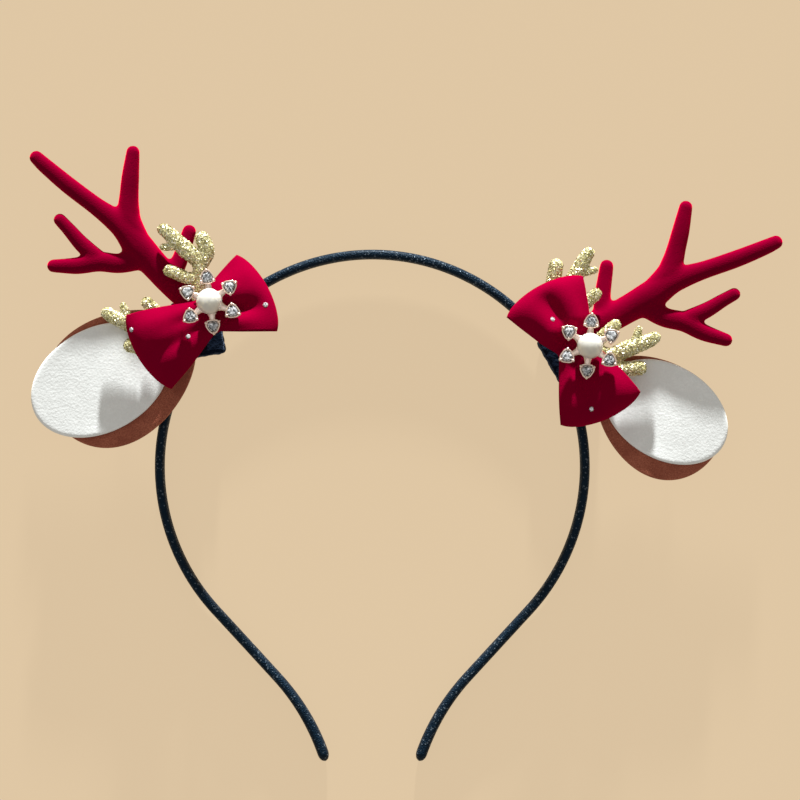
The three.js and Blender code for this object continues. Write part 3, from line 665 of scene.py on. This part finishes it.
def rod_skin(stations, steps=8, sides=28, flatness=1.0, squareness=2.0, tip_rings=8):
    """Circle of the stations' radius, pressed flatter and squarer, carried along their smooth line,
    and rounded off at its end."""
    line = smooth_line(stations, steps)
    path, radius = line[:, :3], line[:, 3]
    forward = np.gradient(path, axis=0)
    forward /= np.linalg.norm(forward, axis=1, keepdims=True)
    tip = np.linspace(0, np.pi / 2, tip_rings + 1)[1:] * ROD_TIP_END
    path = np.concatenate([path, path[-1] + forward[-1] * (radius[-1] * np.sin(tip))[:, None]])
    radius = np.concatenate([radius, radius[-1] * np.cos(tip)])
    forward = np.concatenate([forward, np.repeat(forward[-1:], tip_rings, 0)])
    side = np.cross([0, 0, 1.0], forward)
    side /= np.linalg.norm(side, axis=1, keepdims=True)
    above = np.cross(forward, side)
    angle = around(sides)
    c, s = np.cos(angle)[:, None], np.sin(angle)[:, None]
    ring = square_reach(c, s, squareness) * (c * side[:, None] + flatness * s * above[:, None])
    return path[:, None] + radius[:, None, None] * ring


print("tines:", list(TINES))

# %% Antlers
ANTLER_HEIGHT = 11.65
ANTLER_VOXEL = 0.36
ANTLER_FILL = 70
ANTLER_FLATNESS = 0.85
ANTLER_SQUARENESS = 2.4


def fill_creases(mesh, passes):
    """Each pass moves every point half way to the mean of its neighbours, but only by the part that
    points out of the skin. Hollows fill up while tips and rods keep their size."""
    edges = np.empty(2 * len(mesh.edges), np.int32)
    mesh.edges.foreach_get("vertices", edges)
    a, b = edges.reshape(-1, 2).T
    start, end = np.concatenate([a, b]), np.concatenate([b, a])
    count = np.bincount(start, minlength=len(mesh.vertices))[:, None]
    points, normals = points_of(mesh), np.empty(3 * len(mesh.vertices), np.float32)
    for _ in range(passes):
        mesh.vertex_normals.foreach_get("vector", normals)
        out = normals.reshape(-1, 3)
        total = np.stack([np.bincount(start, points[end, axis], len(points)) for axis in range(3)], -1)
        lift = np.maximum(((total / count - points) * out).sum(-1, keepdims=True), 0)
        points += 0.5 * lift * out
        mesh.vertices.foreach_set("co", points.astype(np.float32).ravel())
        mesh.update()


def fused(name, skins, voxel, passes):
    """One skin round overlapping rods: rebuilt on voxels, smoothed, and its creases filled."""
    rough = show(name, bare_mesh(name, *join_skins(skins), turn_out=False))
    remesh = rough.modifiers.new("skin", "REMESH")
    remesh.mode = "VOXEL"
    remesh.voxel_size = voxel
    relax = rough.modifiers.new("relax", "SMOOTH")
    relax.factor = 0.5
    relax.iterations = 6
    bpy.context.view_layer.update()
    mesh = bpy.data.meshes.new_from_object(rough.evaluated_get(bpy.context.evaluated_depsgraph_get()))
    bpy.data.objects.remove(rough)
    mesh.name = name
    fill_creases(mesh, passes)
    return mesh


for side, spec in SIDES.items():
    x, y, turn = spec["antler"]
    brow_turn, slide, sink = spec["brow"]
    brow = np.array(TINES["brow"])
    brow[:, :3] = turned(brow[:, :3] - brow[0, :3], brow_turn) + brow[0, :3] + [slide, -sink, 0]
    rods = []
    for stations in {**TINES, "brow": brow}.values():
        skin = rod_skin(stations, flatness=ANTLER_FLATNESS, squareness=ANTLER_SQUARENESS)
        rods.append(placed(skin, side, [x, y, ANTLER_HEIGHT], turn)[:, :: spec["mirror"]])
    antler_mesh = fused(f"antler_flock_{side}", rods, ANTLER_VOXEL, ANTLER_FILL)
    add_piece(antler_mesh, flock, [f"antler_{side}"])

# %% [markdown]
# ## Ears
# An ear is an oval of brown velvet, nearly flat with edges that curl up a little, and a smaller
# oval of white felt is glued on its front. A square grid pressed into a disc makes the oval, because
# a disc of rings would pinch the cloth at a pole in its middle. Front and back meet in a round edge
# because the wall thins to nothing at the rim.

# %% Oval shells
EAR_LENGTH = 22.5
EAR_WIDTH = 17.5
EAR_TAPER = 0.16
EAR_WALL = 1.6
UPPER_CUP = 0.2
LOWER_CUP = 1.6
TIP_RISE = 0.8
OVAL_CROWDING = 0.3
RIM_POWER = 24
FADE_POWER = 6


def ear_height(u, v, size):
    """Nearly flat surface: it rises towards the tip, and with the fourth power of the distance
    from the ear's long axis, so only its edges curl up, the lower one more."""
    along = smoothstep(u, -EAR_LENGTH * size, 0.5 * EAR_LENGTH * size)
    across = v / (EAR_WIDTH * size)
    cup = lerp(LOWER_CUP, UPPER_CUP, smoothstep(across, -0.5, 0.5))
    return along * (TIP_RISE + cup * across**4)


def dents(points, waves):
    """Sum of ripples, each with its own height, wavelength and seed."""
    return sum(height * ripple(points, size, seed) for height, size, seed in waves)


def oval_shell(half_length, half_width, wall, taper, cells, height_at, waves):
    """Disc x = p sqrt(1 - q^2/2), y = q sqrt(1 - p^2/2) stretched to an oval and laid on a
    surface. Its wall is thick inside and closes along a round rim, where its dents fade too."""
    t = crowded(cells + 1, OVAL_CROWDING)
    p, q = np.meshgrid(t, t, indexing="ij")
    u, v = p * np.sqrt(1 - q * q / 2), q * np.sqrt(1 - p * p / 2)
    rim = np.clip(u * u + v * v, 0, 1)
    x, y = half_length * u, half_width * v * (1 + taper * u)
    swell = wall / 2 * np.sqrt(1 - rim**RIM_POWER)
    middle = height_at(x, y) + wall / 2
    rough = dents(np.stack([x, y, 0 * x], -1), waves) * (1 - rim**FADE_POWER)
    front = np.stack([x, y, middle + swell + rough], -1)
    back = np.stack([x, y, middle - swell], -1)
    side = cells + 1
    faces = grid_faces(side, side) + grid_faces(side, side, False, side * side)
    return np.concatenate([front.reshape(-1, 3), back.reshape(-1, 3)]), faces


print("ear of full size:", 2 * EAR_WIDTH, "by", 2 * EAR_LENGTH, "mm")

# %% Ears
EAR_HEIGHT = 8.3
FELT_LENGTH = 20.4
FELT_WIDTH = 14.4
FELT_WALL = 1.4
GLUE_GAP = 0.1
EAR_CELLS = 110
FELT_CELLS = 150
# Height, wavelength and seed of each ripple: the velvet is softer than the pressed felt
VELVET_WAVES = [(0.10, 6.0, 11), (0.03, 1.6, 12)]
FELT_WAVES = [(0.004, 6.0, 21), (0.0016, 1.4, 22), (0.0008, 0.7, 23)]

for side, spec in SIDES.items():
    x, y, turn, size = spec["ear"]
    fx, fy, felt_turn, felt_size = spec["felt"]
    place = [x, y, EAR_HEIGHT]
    ear_points, ear_faces = oval_shell(
        EAR_LENGTH * size, EAR_WIDTH * size, EAR_WALL, EAR_TAPER, EAR_CELLS,
        lambda u, v: ear_height(u, v, size), VELVET_WAVES,
    )
    ear_mesh = bare_mesh(f"ear_velvet_{side}", placed(ear_points, side, place, turn), ear_faces)
    ear = add_piece(ear_mesh, velvet, [f"ear_outer_{side}"])
    c, s = np.cos(np.radians(felt_turn)), np.sin(np.radians(felt_turn))
    oval_points, oval_faces = oval_shell(
        FELT_LENGTH * felt_size, FELT_WIDTH * felt_size, FELT_WALL, 0.0, FELT_CELLS,
        lambda u, v: ear_height(fx + u * c - v * s, fy + u * s + v * c, size), FELT_WAVES,
    )
    oval_points = turned(oval_points, felt_turn) + [fx, fy, EAR_WALL + GLUE_GAP]
    oval_mesh = bare_mesh(f"ear_felt_{side}", placed(oval_points, side, place, turn), oval_faces)
    oval = add_piece(oval_mesh, felt, [f"ear_inner_{side}"])

# %% [markdown]
# ## Glitter sprigs
# The small gold sprigs are moulded twigs rolled in glitter. Their twigs are fused like the
# antlers. Then thousands of six-sided flakes are scattered over the skin, each lying close to it
# with a small random tilt, so that some face the light and flash while others stay dull. A sparkle
# in the shading alone would leave the outline smooth, and glitter is rough to the eye.

# %% Glitter finish
GLITTER_TONES = [
    # place on the ramp, colour
    (0.0, (0.30, 0.26, 0.09)),
    (0.4, (0.72, 0.66, 0.32)),
    (0.75, (0.92, 0.87, 0.55)),
    (1.0, (1.0, 1.0, 0.90)),
]
glitter, tree, shader = new_finish("glitter", {"Metallic": 0.35, "Roughness": 0.28})
glint = node(tree, "Attribute", attribute_name="glint")
ramp = node(tree, "ValToRGB", {"Fac": glint.outputs["Fac"]})
while len(ramp.color_ramp.elements) < len(GLITTER_TONES):
    ramp.color_ramp.elements.new(0.5)
for stop, (at, colour) in zip(ramp.color_ramp.elements, GLITTER_TONES):
    stop.position = at
    stop.color = (*colour, 1.0)
tree.links.new(ramp.outputs[0], shader.inputs["Base Color"])
print("glitter:", len(GLITTER_TONES), "tones")

# %% Flakes
FLAKES = 5200
FLAKE_SIZE = (0.16, 0.30)
FLAKE_TILT = 0.42
FLAKE_LIFT = 0.05


def flakes_on(mesh, count, seed):
    """Six-sided flakes scattered evenly over a mesh. A flake's middle is a random point of a face
    picked by area, its plane is the face's plane tilted by a random vector, and its six corners
    lie on a circle in that plane. Returns points (count, 6, 3)."""
    rng = np.random.default_rng(seed)
    mesh.calc_loop_triangles()
    corners = np.empty(3 * len(mesh.loop_triangles), np.int32)
    mesh.loop_triangles.foreach_get("vertices", corners)
    a, b, c = points_of(mesh)[corners.reshape(-1, 3)].transpose(1, 0, 2)
    across = np.cross(b - a, c - a)
    area = np.linalg.norm(across, axis=1)
    pick = rng.choice(len(area), count, p=area / area.sum())
    r, s = np.sqrt(rng.random((count, 1))), rng.random((count, 1))
    normal = across[pick] / area[pick, None]
    middle = (1 - r) * a[pick] + r * (1 - s) * b[pick] + r * s * c[pick] + FLAKE_LIFT * normal
    normal = normal + FLAKE_TILT * rng.normal(size=(count, 3))
    normal /= np.linalg.norm(normal, axis=1, keepdims=True)
    e1 = np.cross(normal, rng.normal(size=(count, 3)))
    e1 /= np.linalg.norm(e1, axis=1, keepdims=True)
    e2 = np.cross(normal, e1)
    angle = np.arange(6) * np.pi / 3
    radius = rng.uniform(*FLAKE_SIZE, (count, 1, 1))
    ring = np.cos(angle)[:, None] * e1[:, None] + np.sin(angle)[:, None] * e2[:, None]
    return middle[:, None] + radius * ring


print("flakes on each sprig:", FLAKES)

# %% Sprigs
SPRIG_HEIGHT = 16.05
SPRIG_FLATNESS = 0.62
SPRIG_VOXEL = 0.26
SPRIG_FILL = 25
SKIN_GLINT = 0.35
FORK_LEAN = 0.55
# Stations of each twig: x, y, height above the sprig's middle, radius
TWIGS = {
    "main": [
        (0, 0, 0, 1.65), (-0.6, 4.4, 0, 1.9), (-0.2, 8, 0, 2.1), (3.2, 11.1, 0, 2.25), (8, 15.6, 0, 1.85),
        (9.5, 16.7, 0, 1.6),
    ],
    "fork": [(-0.7, 6.8, 0, 1.9), (-2.4, 9.9, 0, 2), (-2.2, 12.2, 0, 2.05), (-1.2, 14.2, 0, 1.95)],
    "spur": [(5.2, 12.6, 0, 1.35), (8.1, 12, 0, 1.15), (9.6, 11.8, 0, 0.95)],
    "low": [(-0.3, 3, 0, 1.65), (3.2, 3.5, 0, 1.65), (6.3, 4.8, 0, 1.7), (7.8, 5.4, 0, 1.6)],
}

for number, (side, way) in enumerate((side, way) for side in SIDES for way in ("up", "out")):
    x, y, turn, flip, stem, reach = SIDES[side]["sprigs"][way]
    foot = np.array(TWIGS["main"][0]) - [0, stem, 0, 0]
    tip = np.array(TWIGS["fork"][-1]) + reach * np.array([FORK_LEAN, 1, 0, 0])
    twigs = {**TWIGS, "main": [foot, *TWIGS["main"][1:]], "fork": [*TWIGS["fork"][:-1], tip]}
    rods = []
    for twig in twigs.values():
        skin = rod_skin(np.array(twig) * [flip, 1, 1, 1], sides=20, flatness=SPRIG_FLATNESS)
        rods.append(placed(skin, side, [x, y, SPRIG_HEIGHT], turn)[:, :: SIDES[side]["mirror"]])
    twig_mesh = fused(f"glitter_sprig_{way}_{side}", rods, SPRIG_VOXEL, SPRIG_FILL)
    flakes = flakes_on(twig_mesh, FLAKES, seed=100 + number)
    skin_points = points_of(twig_mesh)
    skin_quads = [list(face.vertices) for face in twig_mesh.polygons]
    flake_faces = (len(skin_points) + np.arange(FLAKES * 6).reshape(-1, 6)).tolist()
    sprig_points = np.concatenate([skin_points, flakes.reshape(-1, 3)])
    sprig_mesh = bpy.data.meshes.new(f"glitter_{way}_{side}")
    sprig_mesh.from_pydata(sprig_points, [], skin_quads + flake_faces)
    tones = np.random.default_rng(200 + number).random(len(skin_quads) + FLAKES)
    tones[: len(skin_quads)] *= SKIN_GLINT
    glints = sprig_mesh.attributes.new("glint", "FLOAT", "FACE")
    glints.data.foreach_set("value", tones.astype(np.float32))
    add_piece(sprig_mesh, glitter, [f"glitter_sprig_{way}_{side}"], smooth=False)

# %% [markdown]
# ## Ribbon bows
# A bow is one ribbon laid in two flat loops and gathered in the middle. The loop's surface runs
# from the waist in front, round the outer fold and back to the waist behind. It is widest at the
# fold, swells between, and its front is dented where the fingers pressed it, each loop in its own
# way. A cloth simulation could fold it, but a formula keeps each dent where it belongs. The ribbon
# has a short nap like velvet, and it is thin, so a Solidify modifier gives it its wall.

# %% Ribbon loops
RIBBON_FRONT = 0.55
WAIST_HALF = 4.5
EDGE_HALF = 11.2
CORNER_DROP = 2.4
CORNER_ROUND = 0.7
WAIST_GAP = 1.0
BACK_SHARE = 0.7
DENT_WIDTH = 0.32
PLEAT = 0.35
PLEAT_WAVES = 3.0


def loop_middle(fold, across, lobe):
    """One loop of ribbon. `fold` goes from 1 at the waist in front through 0 at the outer fold to
    -1 behind, `across` from -1 to 1 over the width. The distance from the waist is 1 - fold^2, the
    width grows with it, and the height is the fold times a swelling depth that falls off to both
    edges. A bell curve across the front, deepest half way out, takes the dent away from it, small
    pleats fill the waist, and a slope over the width twists the loop."""
    along = 1 - fold**2
    at, drift, depth, out = lobe["dent"]
    midway = 4 * along**out * (1 - along**out)
    reach = lobe["length"] - CORNER_DROP * across**2 - CORNER_ROUND * across**8 + lobe["skew"] * across
    width = across * lerp(WAIST_HALF, EDGE_HALF, along)
    swell = lerp(WAIST_GAP, lobe["depth"], smoothstep(along, 0.1, lobe["swell"]))
    roundness = np.sqrt((1 + along) * (1 + along**2))
    front = smoothstep(fold, -0.4, 0.4)
    dent = depth * front * midway * bell(across - at - drift * along, DENT_WIDTH)
    pleats = PLEAT * np.cos(PLEAT_WAVES * np.pi * across) * (1 - along) ** 1.5
    arch = 1 - np.where(across < 0, *lobe["falls"]) * abs(across) ** 3
    height = fold * roundness * swell * lerp(BACK_SHARE, 1, front) * arch * (1 - dent) + pleats
    return np.stack([reach * along, width, height + lobe["twist"] * width * along], -1)


def loop_front(fold, across, lobe):
    """The loop's outer surface and its normal: the middle surface pushed out along its normal,
    which is the cross product of small steps along the fold and across the ribbon."""
    step = 1e-3
    down = loop_middle(fold - step, across, lobe) - loop_middle(fold + step, across, lobe)
    over = loop_middle(fold, across + step, lobe) - loop_middle(fold, across - step, lobe)
    normal = np.cross(down, over)
    normal /= np.linalg.norm(normal, axis=-1, keepdims=True)
    return loop_middle(fold, across, lobe) + RIBBON_FRONT * normal, normal


print("ribbon:", 2 * EDGE_HALF, "mm wide at the fold")

# %% Bows
BOW_HEIGHT = 20.7
RIBBON_WALL = 0.5
FOLD_END = 0.995
KNOT_RADIUS = 2.7
KNOT_HALF = 5.2
KNOT_TAPER = 0.35
KNOT_PLEAT = 0.035
KNOT_BELL = 0.85


def knot_skin(back):
    """Barrel of gathered ribbon round the waist: an ellipse carried along the width, with fine
    pleats that run round it. Half way along, a cosine bell draws its back down to the antler."""
    t = np.linspace(-1, 1, 61)[:, None]
    angle = around(72)
    share = (1 - KNOT_TAPER * np.abs(t) ** 6) * (1 + KNOT_PLEAT * np.cos(9 * np.pi * t))
    drawn = 0.5 + 0.5 * np.cos(np.pi * np.clip(t / KNOT_BELL, -1, 1))
    depth = np.where(np.sin(angle) < 0, lerp(KNOT_RADIUS, back, drawn), KNOT_RADIUS)
    across, up = share * KNOT_RADIUS * np.cos(angle), share * depth * np.sin(angle)
    return np.stack([across, np.repeat(KNOT_HALF * t, len(angle), 1), up], -1)


ribbon = pile_finish(
    "ribbon", (0.20, 0.0, 0.017), (0.26, 0.0, 0.022), sheen=0.3, sheen_colour=(1.0, 0.0, 0.06),
    grain=4200.0, patch=120.0, depth=0.00012, rough=0.6,
)
fold_steps, across_steps = np.linspace(FOLD_END, -FOLD_END, 121), np.linspace(-1, 1, 81)
fold, across = np.meshgrid(fold_steps, across_steps, indexing="ij")
for side, spec in SIDES.items():
    x, y, knot_turn, knot_back = spec["bow"]
    place = [x, y, BOW_HEIGHT]
    loops, faces = [], []
    for number, lobe in enumerate(spec["lobes"]):
        surface, _ = loop_front(fold, across, lobe)
        loops.append(turned(surface, lobe["turn"]).reshape(-1, 3))
        faces += grid_faces(*fold.shape, False, number * fold.size)
    bow_points = placed(np.concatenate(loops), side, place)
    faces = [face[:: spec["mirror"]] for face in faces]
    bow_mesh = bare_mesh(f"bow_ribbon_{side}", bow_points, faces, turn_out=False)
    bow = add_piece(bow_mesh, ribbon, [f"bow_{side}"])
    wall = bow.modifiers.new("wall", "SOLIDIFY")
    wall.thickness = RIBBON_WALL * MM
    wall.offset = -1.0
    knot_points = placed(knot_skin(knot_back), side, place, knot_turn)
    knot = add_piece(bare_mesh(f"bow_knot_{side}", *join_skins([knot_points])), ribbon, [])

# %% [markdown]
# ## Cut stones
# The stones have a foil back, so they don't look through like window glass: each of their facets is
# a small mirror. The facets are real faces, but what they mirror is painted: every one keeps a seeded
# tone in an attribute that the finish reads as its colour, a painted reflection from dark to light.
# Clear glass over a mirror would need many more bounces of light.

# %% Crystal finish
crystal_sockets = {"Metallic": 0.35, "Roughness": 0.08, "Coat Weight": 1.0, "Coat Roughness": 0.02}
crystal, tree, shader = new_finish("crystal", crystal_sockets)
# Painted reflection: each face's seeded tone, from near black to near white, stands in for what the
# foil-backed facets mirror.
facet_reflection = node(tree, "Attribute", attribute_name="facet_reflection")
tint(tree, shader, facet_reflection.outputs["Fac"], (0.03, 0.035, 0.04), (0.95, 0.96, 0.98))
print("crystal:", len(tree.nodes), "nodes")

# %% Cut
STONE = {
    "radius": 1.45, "point": 0.1, "girdle": 1.45, "table": 0.55, "crown": 0.6, "culet": 0.25,
    "pavilion": 0.85, "sides": 12,
}
CHIP = {
    "radius": 0.9, "point": 0.0, "girdle": 0.12, "table": 0.5, "crown": 0.62, "culet": 0.98,
    "pavilion": 0.4, "sides": 8,
}
GIRDLE_HALF = 0.05
STAR_SWELL = 1.04
STAR_RISE = 0.6


def gem_ring(spec, share, height, offset=0.0):
    """Soft triangle r = R (1 + point cos 3a) at one height, turned by a share of a side."""
    sides = spec["sides"]
    angle = 2 * np.pi * (np.arange(sides) + offset) / sides
    reach = share * spec["radius"] * (1 + spec["point"] * np.cos(3 * angle))
    return np.stack([reach * np.cos(angle), reach * np.sin(angle), np.full(sides, height)], -1)


def gem(spec):
    """Brilliant cut: rings at the culet, under and over the girdle, half way up the crown turned by
    half a step, and at the table, with flat facets between them. The table is a fan of wedges, whose
    painted tones stand in for the reflections of the lower facets that would show through it."""
    low, top = spec["girdle"] - spec["pavilion"], spec["girdle"] + spec["crown"]
    star_share, star_height = (1 + spec["table"]) / 2 * STAR_SWELL, lerp(spec["girdle"], top, STAR_RISE)
    rings = [
        gem_ring(spec, spec["culet"], low),
        gem_ring(spec, 1.0, spec["girdle"] - GIRDLE_HALF),
        gem_ring(spec, 1.0, spec["girdle"] + GIRDLE_HALF),
        gem_ring(spec, star_share, star_height, 0.5),
        gem_ring(spec, spec["table"], top),
    ]
    sides = spec["sides"]
    j = np.arange(sides)
    k = (j + 1) % sides
    faces = grid_faces(3, sides, True)
    girdle, star, table, middle = 2 * sides, 3 * sides, 4 * sides, np.full(sides, 5 * sides)
    facets = [
        (girdle + j, girdle + k, star + j),
        (girdle + k, star + k, star + j),
        (star + j, table + k, table + j),
        (star + j, star + k, table + k),
        (table + j, table + k, middle),
    ]
    faces += np.array(facets).transpose(0, 2, 1).reshape(-1, 3).tolist()
    return np.concatenate([*rings, [[0, 0, top]]]), [*faces, j[::-1].tolist()]


print("facets of a stone:", len(gem(STONE)[1]))

# %% Stones
ARMS = 6
FIRST_ARM = 90
STONE_RING = 6.65
BROOCH_HEIGHT = 25.6


def add_gem(name, points, faces, seed, reflection_contrast):
    """Adds a stone as a piece in place of the CAD node of the same number, with a seeded tone per face
    that paints its reflections.
    """
    mesh = bare_mesh(name.replace("crystal", "stone"), points, faces)
    # These seeded tones are painted reflection, not the stone's own colour.
    tones = np.random.default_rng(seed).random(len(mesh.polygons)).astype(np.float32) ** reflection_contrast
    mesh.attributes.new("facet_reflection", "FLOAT", "FACE").data.foreach_set("value", tones)
    add_piece(mesh, crystal, [name], smooth=False)


for side, spec in SIDES.items():
    for arm in range(ARMS):
        stone_points, stone_faces = gem(STONE)
        arm_turn = FIRST_ARM + spec["brooch_turn"] + 360 * arm / ARMS
        stone_points = placed(stone_points + [STONE_RING, 0, 0], side, [0, 0, BROOCH_HEIGHT], arm_turn)
        add_gem(f"brooch_crystal_{side}_{arm + 1}", stone_points, stone_faces, seed=300 + arm, reflection_contrast=1.4)
    for number, (loop, along, across) in enumerate(spec["chips"], 1):
        lobe = spec["lobes"][loop]
        middle, up = loop_front(np.array(np.sqrt(1 - along)), np.array(across), lobe)
        tilt = np.stack([np.cross([0, 1, 0], up), np.cross(up, np.cross([0, 1, 0], up)), up])
        tilt /= np.linalg.norm(tilt, axis=1, keepdims=True)
        chip_points, chip_faces = gem(CHIP)
        bow_place = [*spec["bow"][:2], BOW_HEIGHT]
        chip_points = placed(chip_points @ tilt + middle, side, bow_place, lobe["turn"])
        add_gem(f"bow_crystal_{side}_{number}", chip_points, chip_faces, seed=400 + number, reflection_contrast=1.2)
    print(side, "stones:", ARMS, "and", len(spec["chips"]), "chips")

# %% [markdown]
# ## Snowflake brooch
# The brooch is cast in rose gold: six arms on a hub, a triangular cup with three claws for each
# stone, and a cup for the pearl. Each form is a profile carried round an axis or along an arm, so
# all of them are grids of points that are joined into one mesh. A Boolean union would join them
# too, but it takes longer and looks the same from outside.

# %% Gold finish
gold, tree, shader = new_finish("gold", {"Metallic": 0.75, "Coat Weight": 0.5, "Coat Roughness": 0.1})
cast = place_group(tree, pile, {"Grain": 900.0, "Patch": 250.0})
tint(tree, shader, cast.outputs["Tone"], (0.84, 0.64, 0.53), (0.96, 0.84, 0.75))
tree.links.new(spread(tree, cast.outputs["Height"], 0.14, 0.30), shader.inputs["Roughness"])
print("gold:", len(tree.nodes), "nodes")

# %% Settings
# Profiles of radius and height above the brooch's back
CUP_PROFILE = [
    (1.36, 0.0), (1.46, 0.12), (1.66, 0.7), (1.86, 1.2), (1.96, 1.42), (1.95, 1.58), (1.82, 1.66),
    (1.64, 1.62), (1.5, 1.5), (1.5, 1.3), (0.5, 0.4),
]
PEARL_CUP = [
    (2.7, 0.0), (2.95, 0.15), (3.0, 1.35), (2.95, 1.55), (2.8, 1.62), (2.6, 1.55), (2.3, 1.3), (1.5, 0.95),
    (0.4, 0.7),
]
HUB = [(2.6, -0.05), (3.1, 0.05), (3.3, 0.3), (3.2, 0.6), (2.8, 0.8), (0.5, 0.85)]
BACK = [(2.9, -1.8), (3.15, -1.7), (3.2, -1.5), (3.2, -0.2), (3.1, 0.02), (2.8, 0.1)]
# Stations of an arm: x, y, height, radius
ARM_STATIONS = [(0.5, 0, 0.45, 1.5), (2.6, 0, 0.45, 1.5), (3.8, 0, 0.5, 0.95), (5.3, 0, 0.55, 0.7)]
CLAW_RADIUS = 0.45
CLAW_AT = [1.96, 0, 1.62]
CLAW_STRETCH = (1.15, 0.95, 1.0)
BALL_POLE_END = 0.995


def turned_profile(profile, sides, wave=0.0, waves=3):
    """Profile of (radius, height) carried round z, its radius times 1 + wave cos(waves a)."""
    r, z = smooth_line(profile, 4).T
    angle = around(sides)
    reach = r[:, None] * (1 + wave * np.cos(waves * angle))
    return np.stack([reach * np.cos(angle), reach * np.sin(angle), np.repeat(z[:, None], sides, 1)], -1)


def ball(radius, middle, stretch=(1, 1, 1), rows=14, sides=20):
    """Sphere stretched along its axes, as rings from pole to pole."""
    lat = np.linspace(-0.5, 0.5, rows + 1)[:, None] * np.pi * BALL_POLE_END
    lon = around(sides)
    up = np.repeat(np.sin(lat), sides, 1)
    unit = np.stack([np.cos(lat) * np.cos(lon), np.cos(lat) * np.sin(lon), up], -1)
    return unit * radius * np.array(stretch) + middle


claw_ball = ball(CLAW_RADIUS, CLAW_AT, CLAW_STRETCH)
cup = [turned_profile(CUP_PROFILE, sides=48, wave=STONE["point"])]
cup += [turned(claw_ball, 120 * claw) for claw in range(3)]
arm_skins = [rod_skin(ARM_STATIONS, sides=24, flatness=0.55), *(skin + [STONE_RING, 0, 0] for skin in cup)]
setting_skins = [
    turned_profile(BACK, sides=48),
    turned_profile(HUB, sides=72, wave=0.04, waves=6),
    turned_profile(PEARL_CUP, sides=72, wave=0.03, waves=12),
    *(turned(skin, 360 * arm / ARMS) for arm in range(ARMS) for skin in arm_skins),
]
for side, spec in SIDES.items():
    cast_points, cast_faces = join_skins(setting_skins)
    cast_points = placed(cast_points, side, [0, 0, BROOCH_HEIGHT], FIRST_ARM + spec["brooch_turn"])
    setting_mesh = bare_mesh(f"brooch_gold_{side}", cast_points, cast_faces)
    add_piece(setting_mesh, gold, [f"brooch_setting_{side}"])

# %% [markdown]
# ## Pearls
# An imitation pearl is a glass bead in many thin coats, so it has a soft body colour under a
# glossy skin: subsurface light below a clear coat. The bead is not perfectly round, which keeps its
# highlight from looking computed.

# %% Pearls
PEARL_RADIUS = 3.5
PEARL_WAVE = 0.004
PEARL_WAVE_SIZE = 3.0
pearl_sockets = {
    "Roughness": 0.22,
    "Coat Weight": 1.0,
    "Coat Roughness": 0.06,
    "Subsurface Weight": 1.0,
    "Subsurface Radius": (1.0, 1.0, 0.95),
    "Subsurface Scale": 0.006,
}
pearl_finish, tree, shader = new_finish("pearl", pearl_sockets)
lustre = place_group(tree, pile, {"Grain": 420.0, "Patch": 240.0})
tint(tree, shader, lustre.outputs["Tone"], (0.54, 0.52, 0.475), (0.6, 0.58, 0.535))
for side in SIDES:
    bead = ball(PEARL_RADIUS, [0, 0, 0], rows=72, sides=96)
    bead *= 1 + PEARL_WAVE * ripple(bead, PEARL_WAVE_SIZE, seed=31)[..., None]
    pearl_mesh = bare_mesh(f"pearl_bead_{side}", *join_skins([bead + box_middle(f"pearl_{side}")]))
    add_piece(pearl_mesh, pearl_finish, [f"pearl_{side}"])
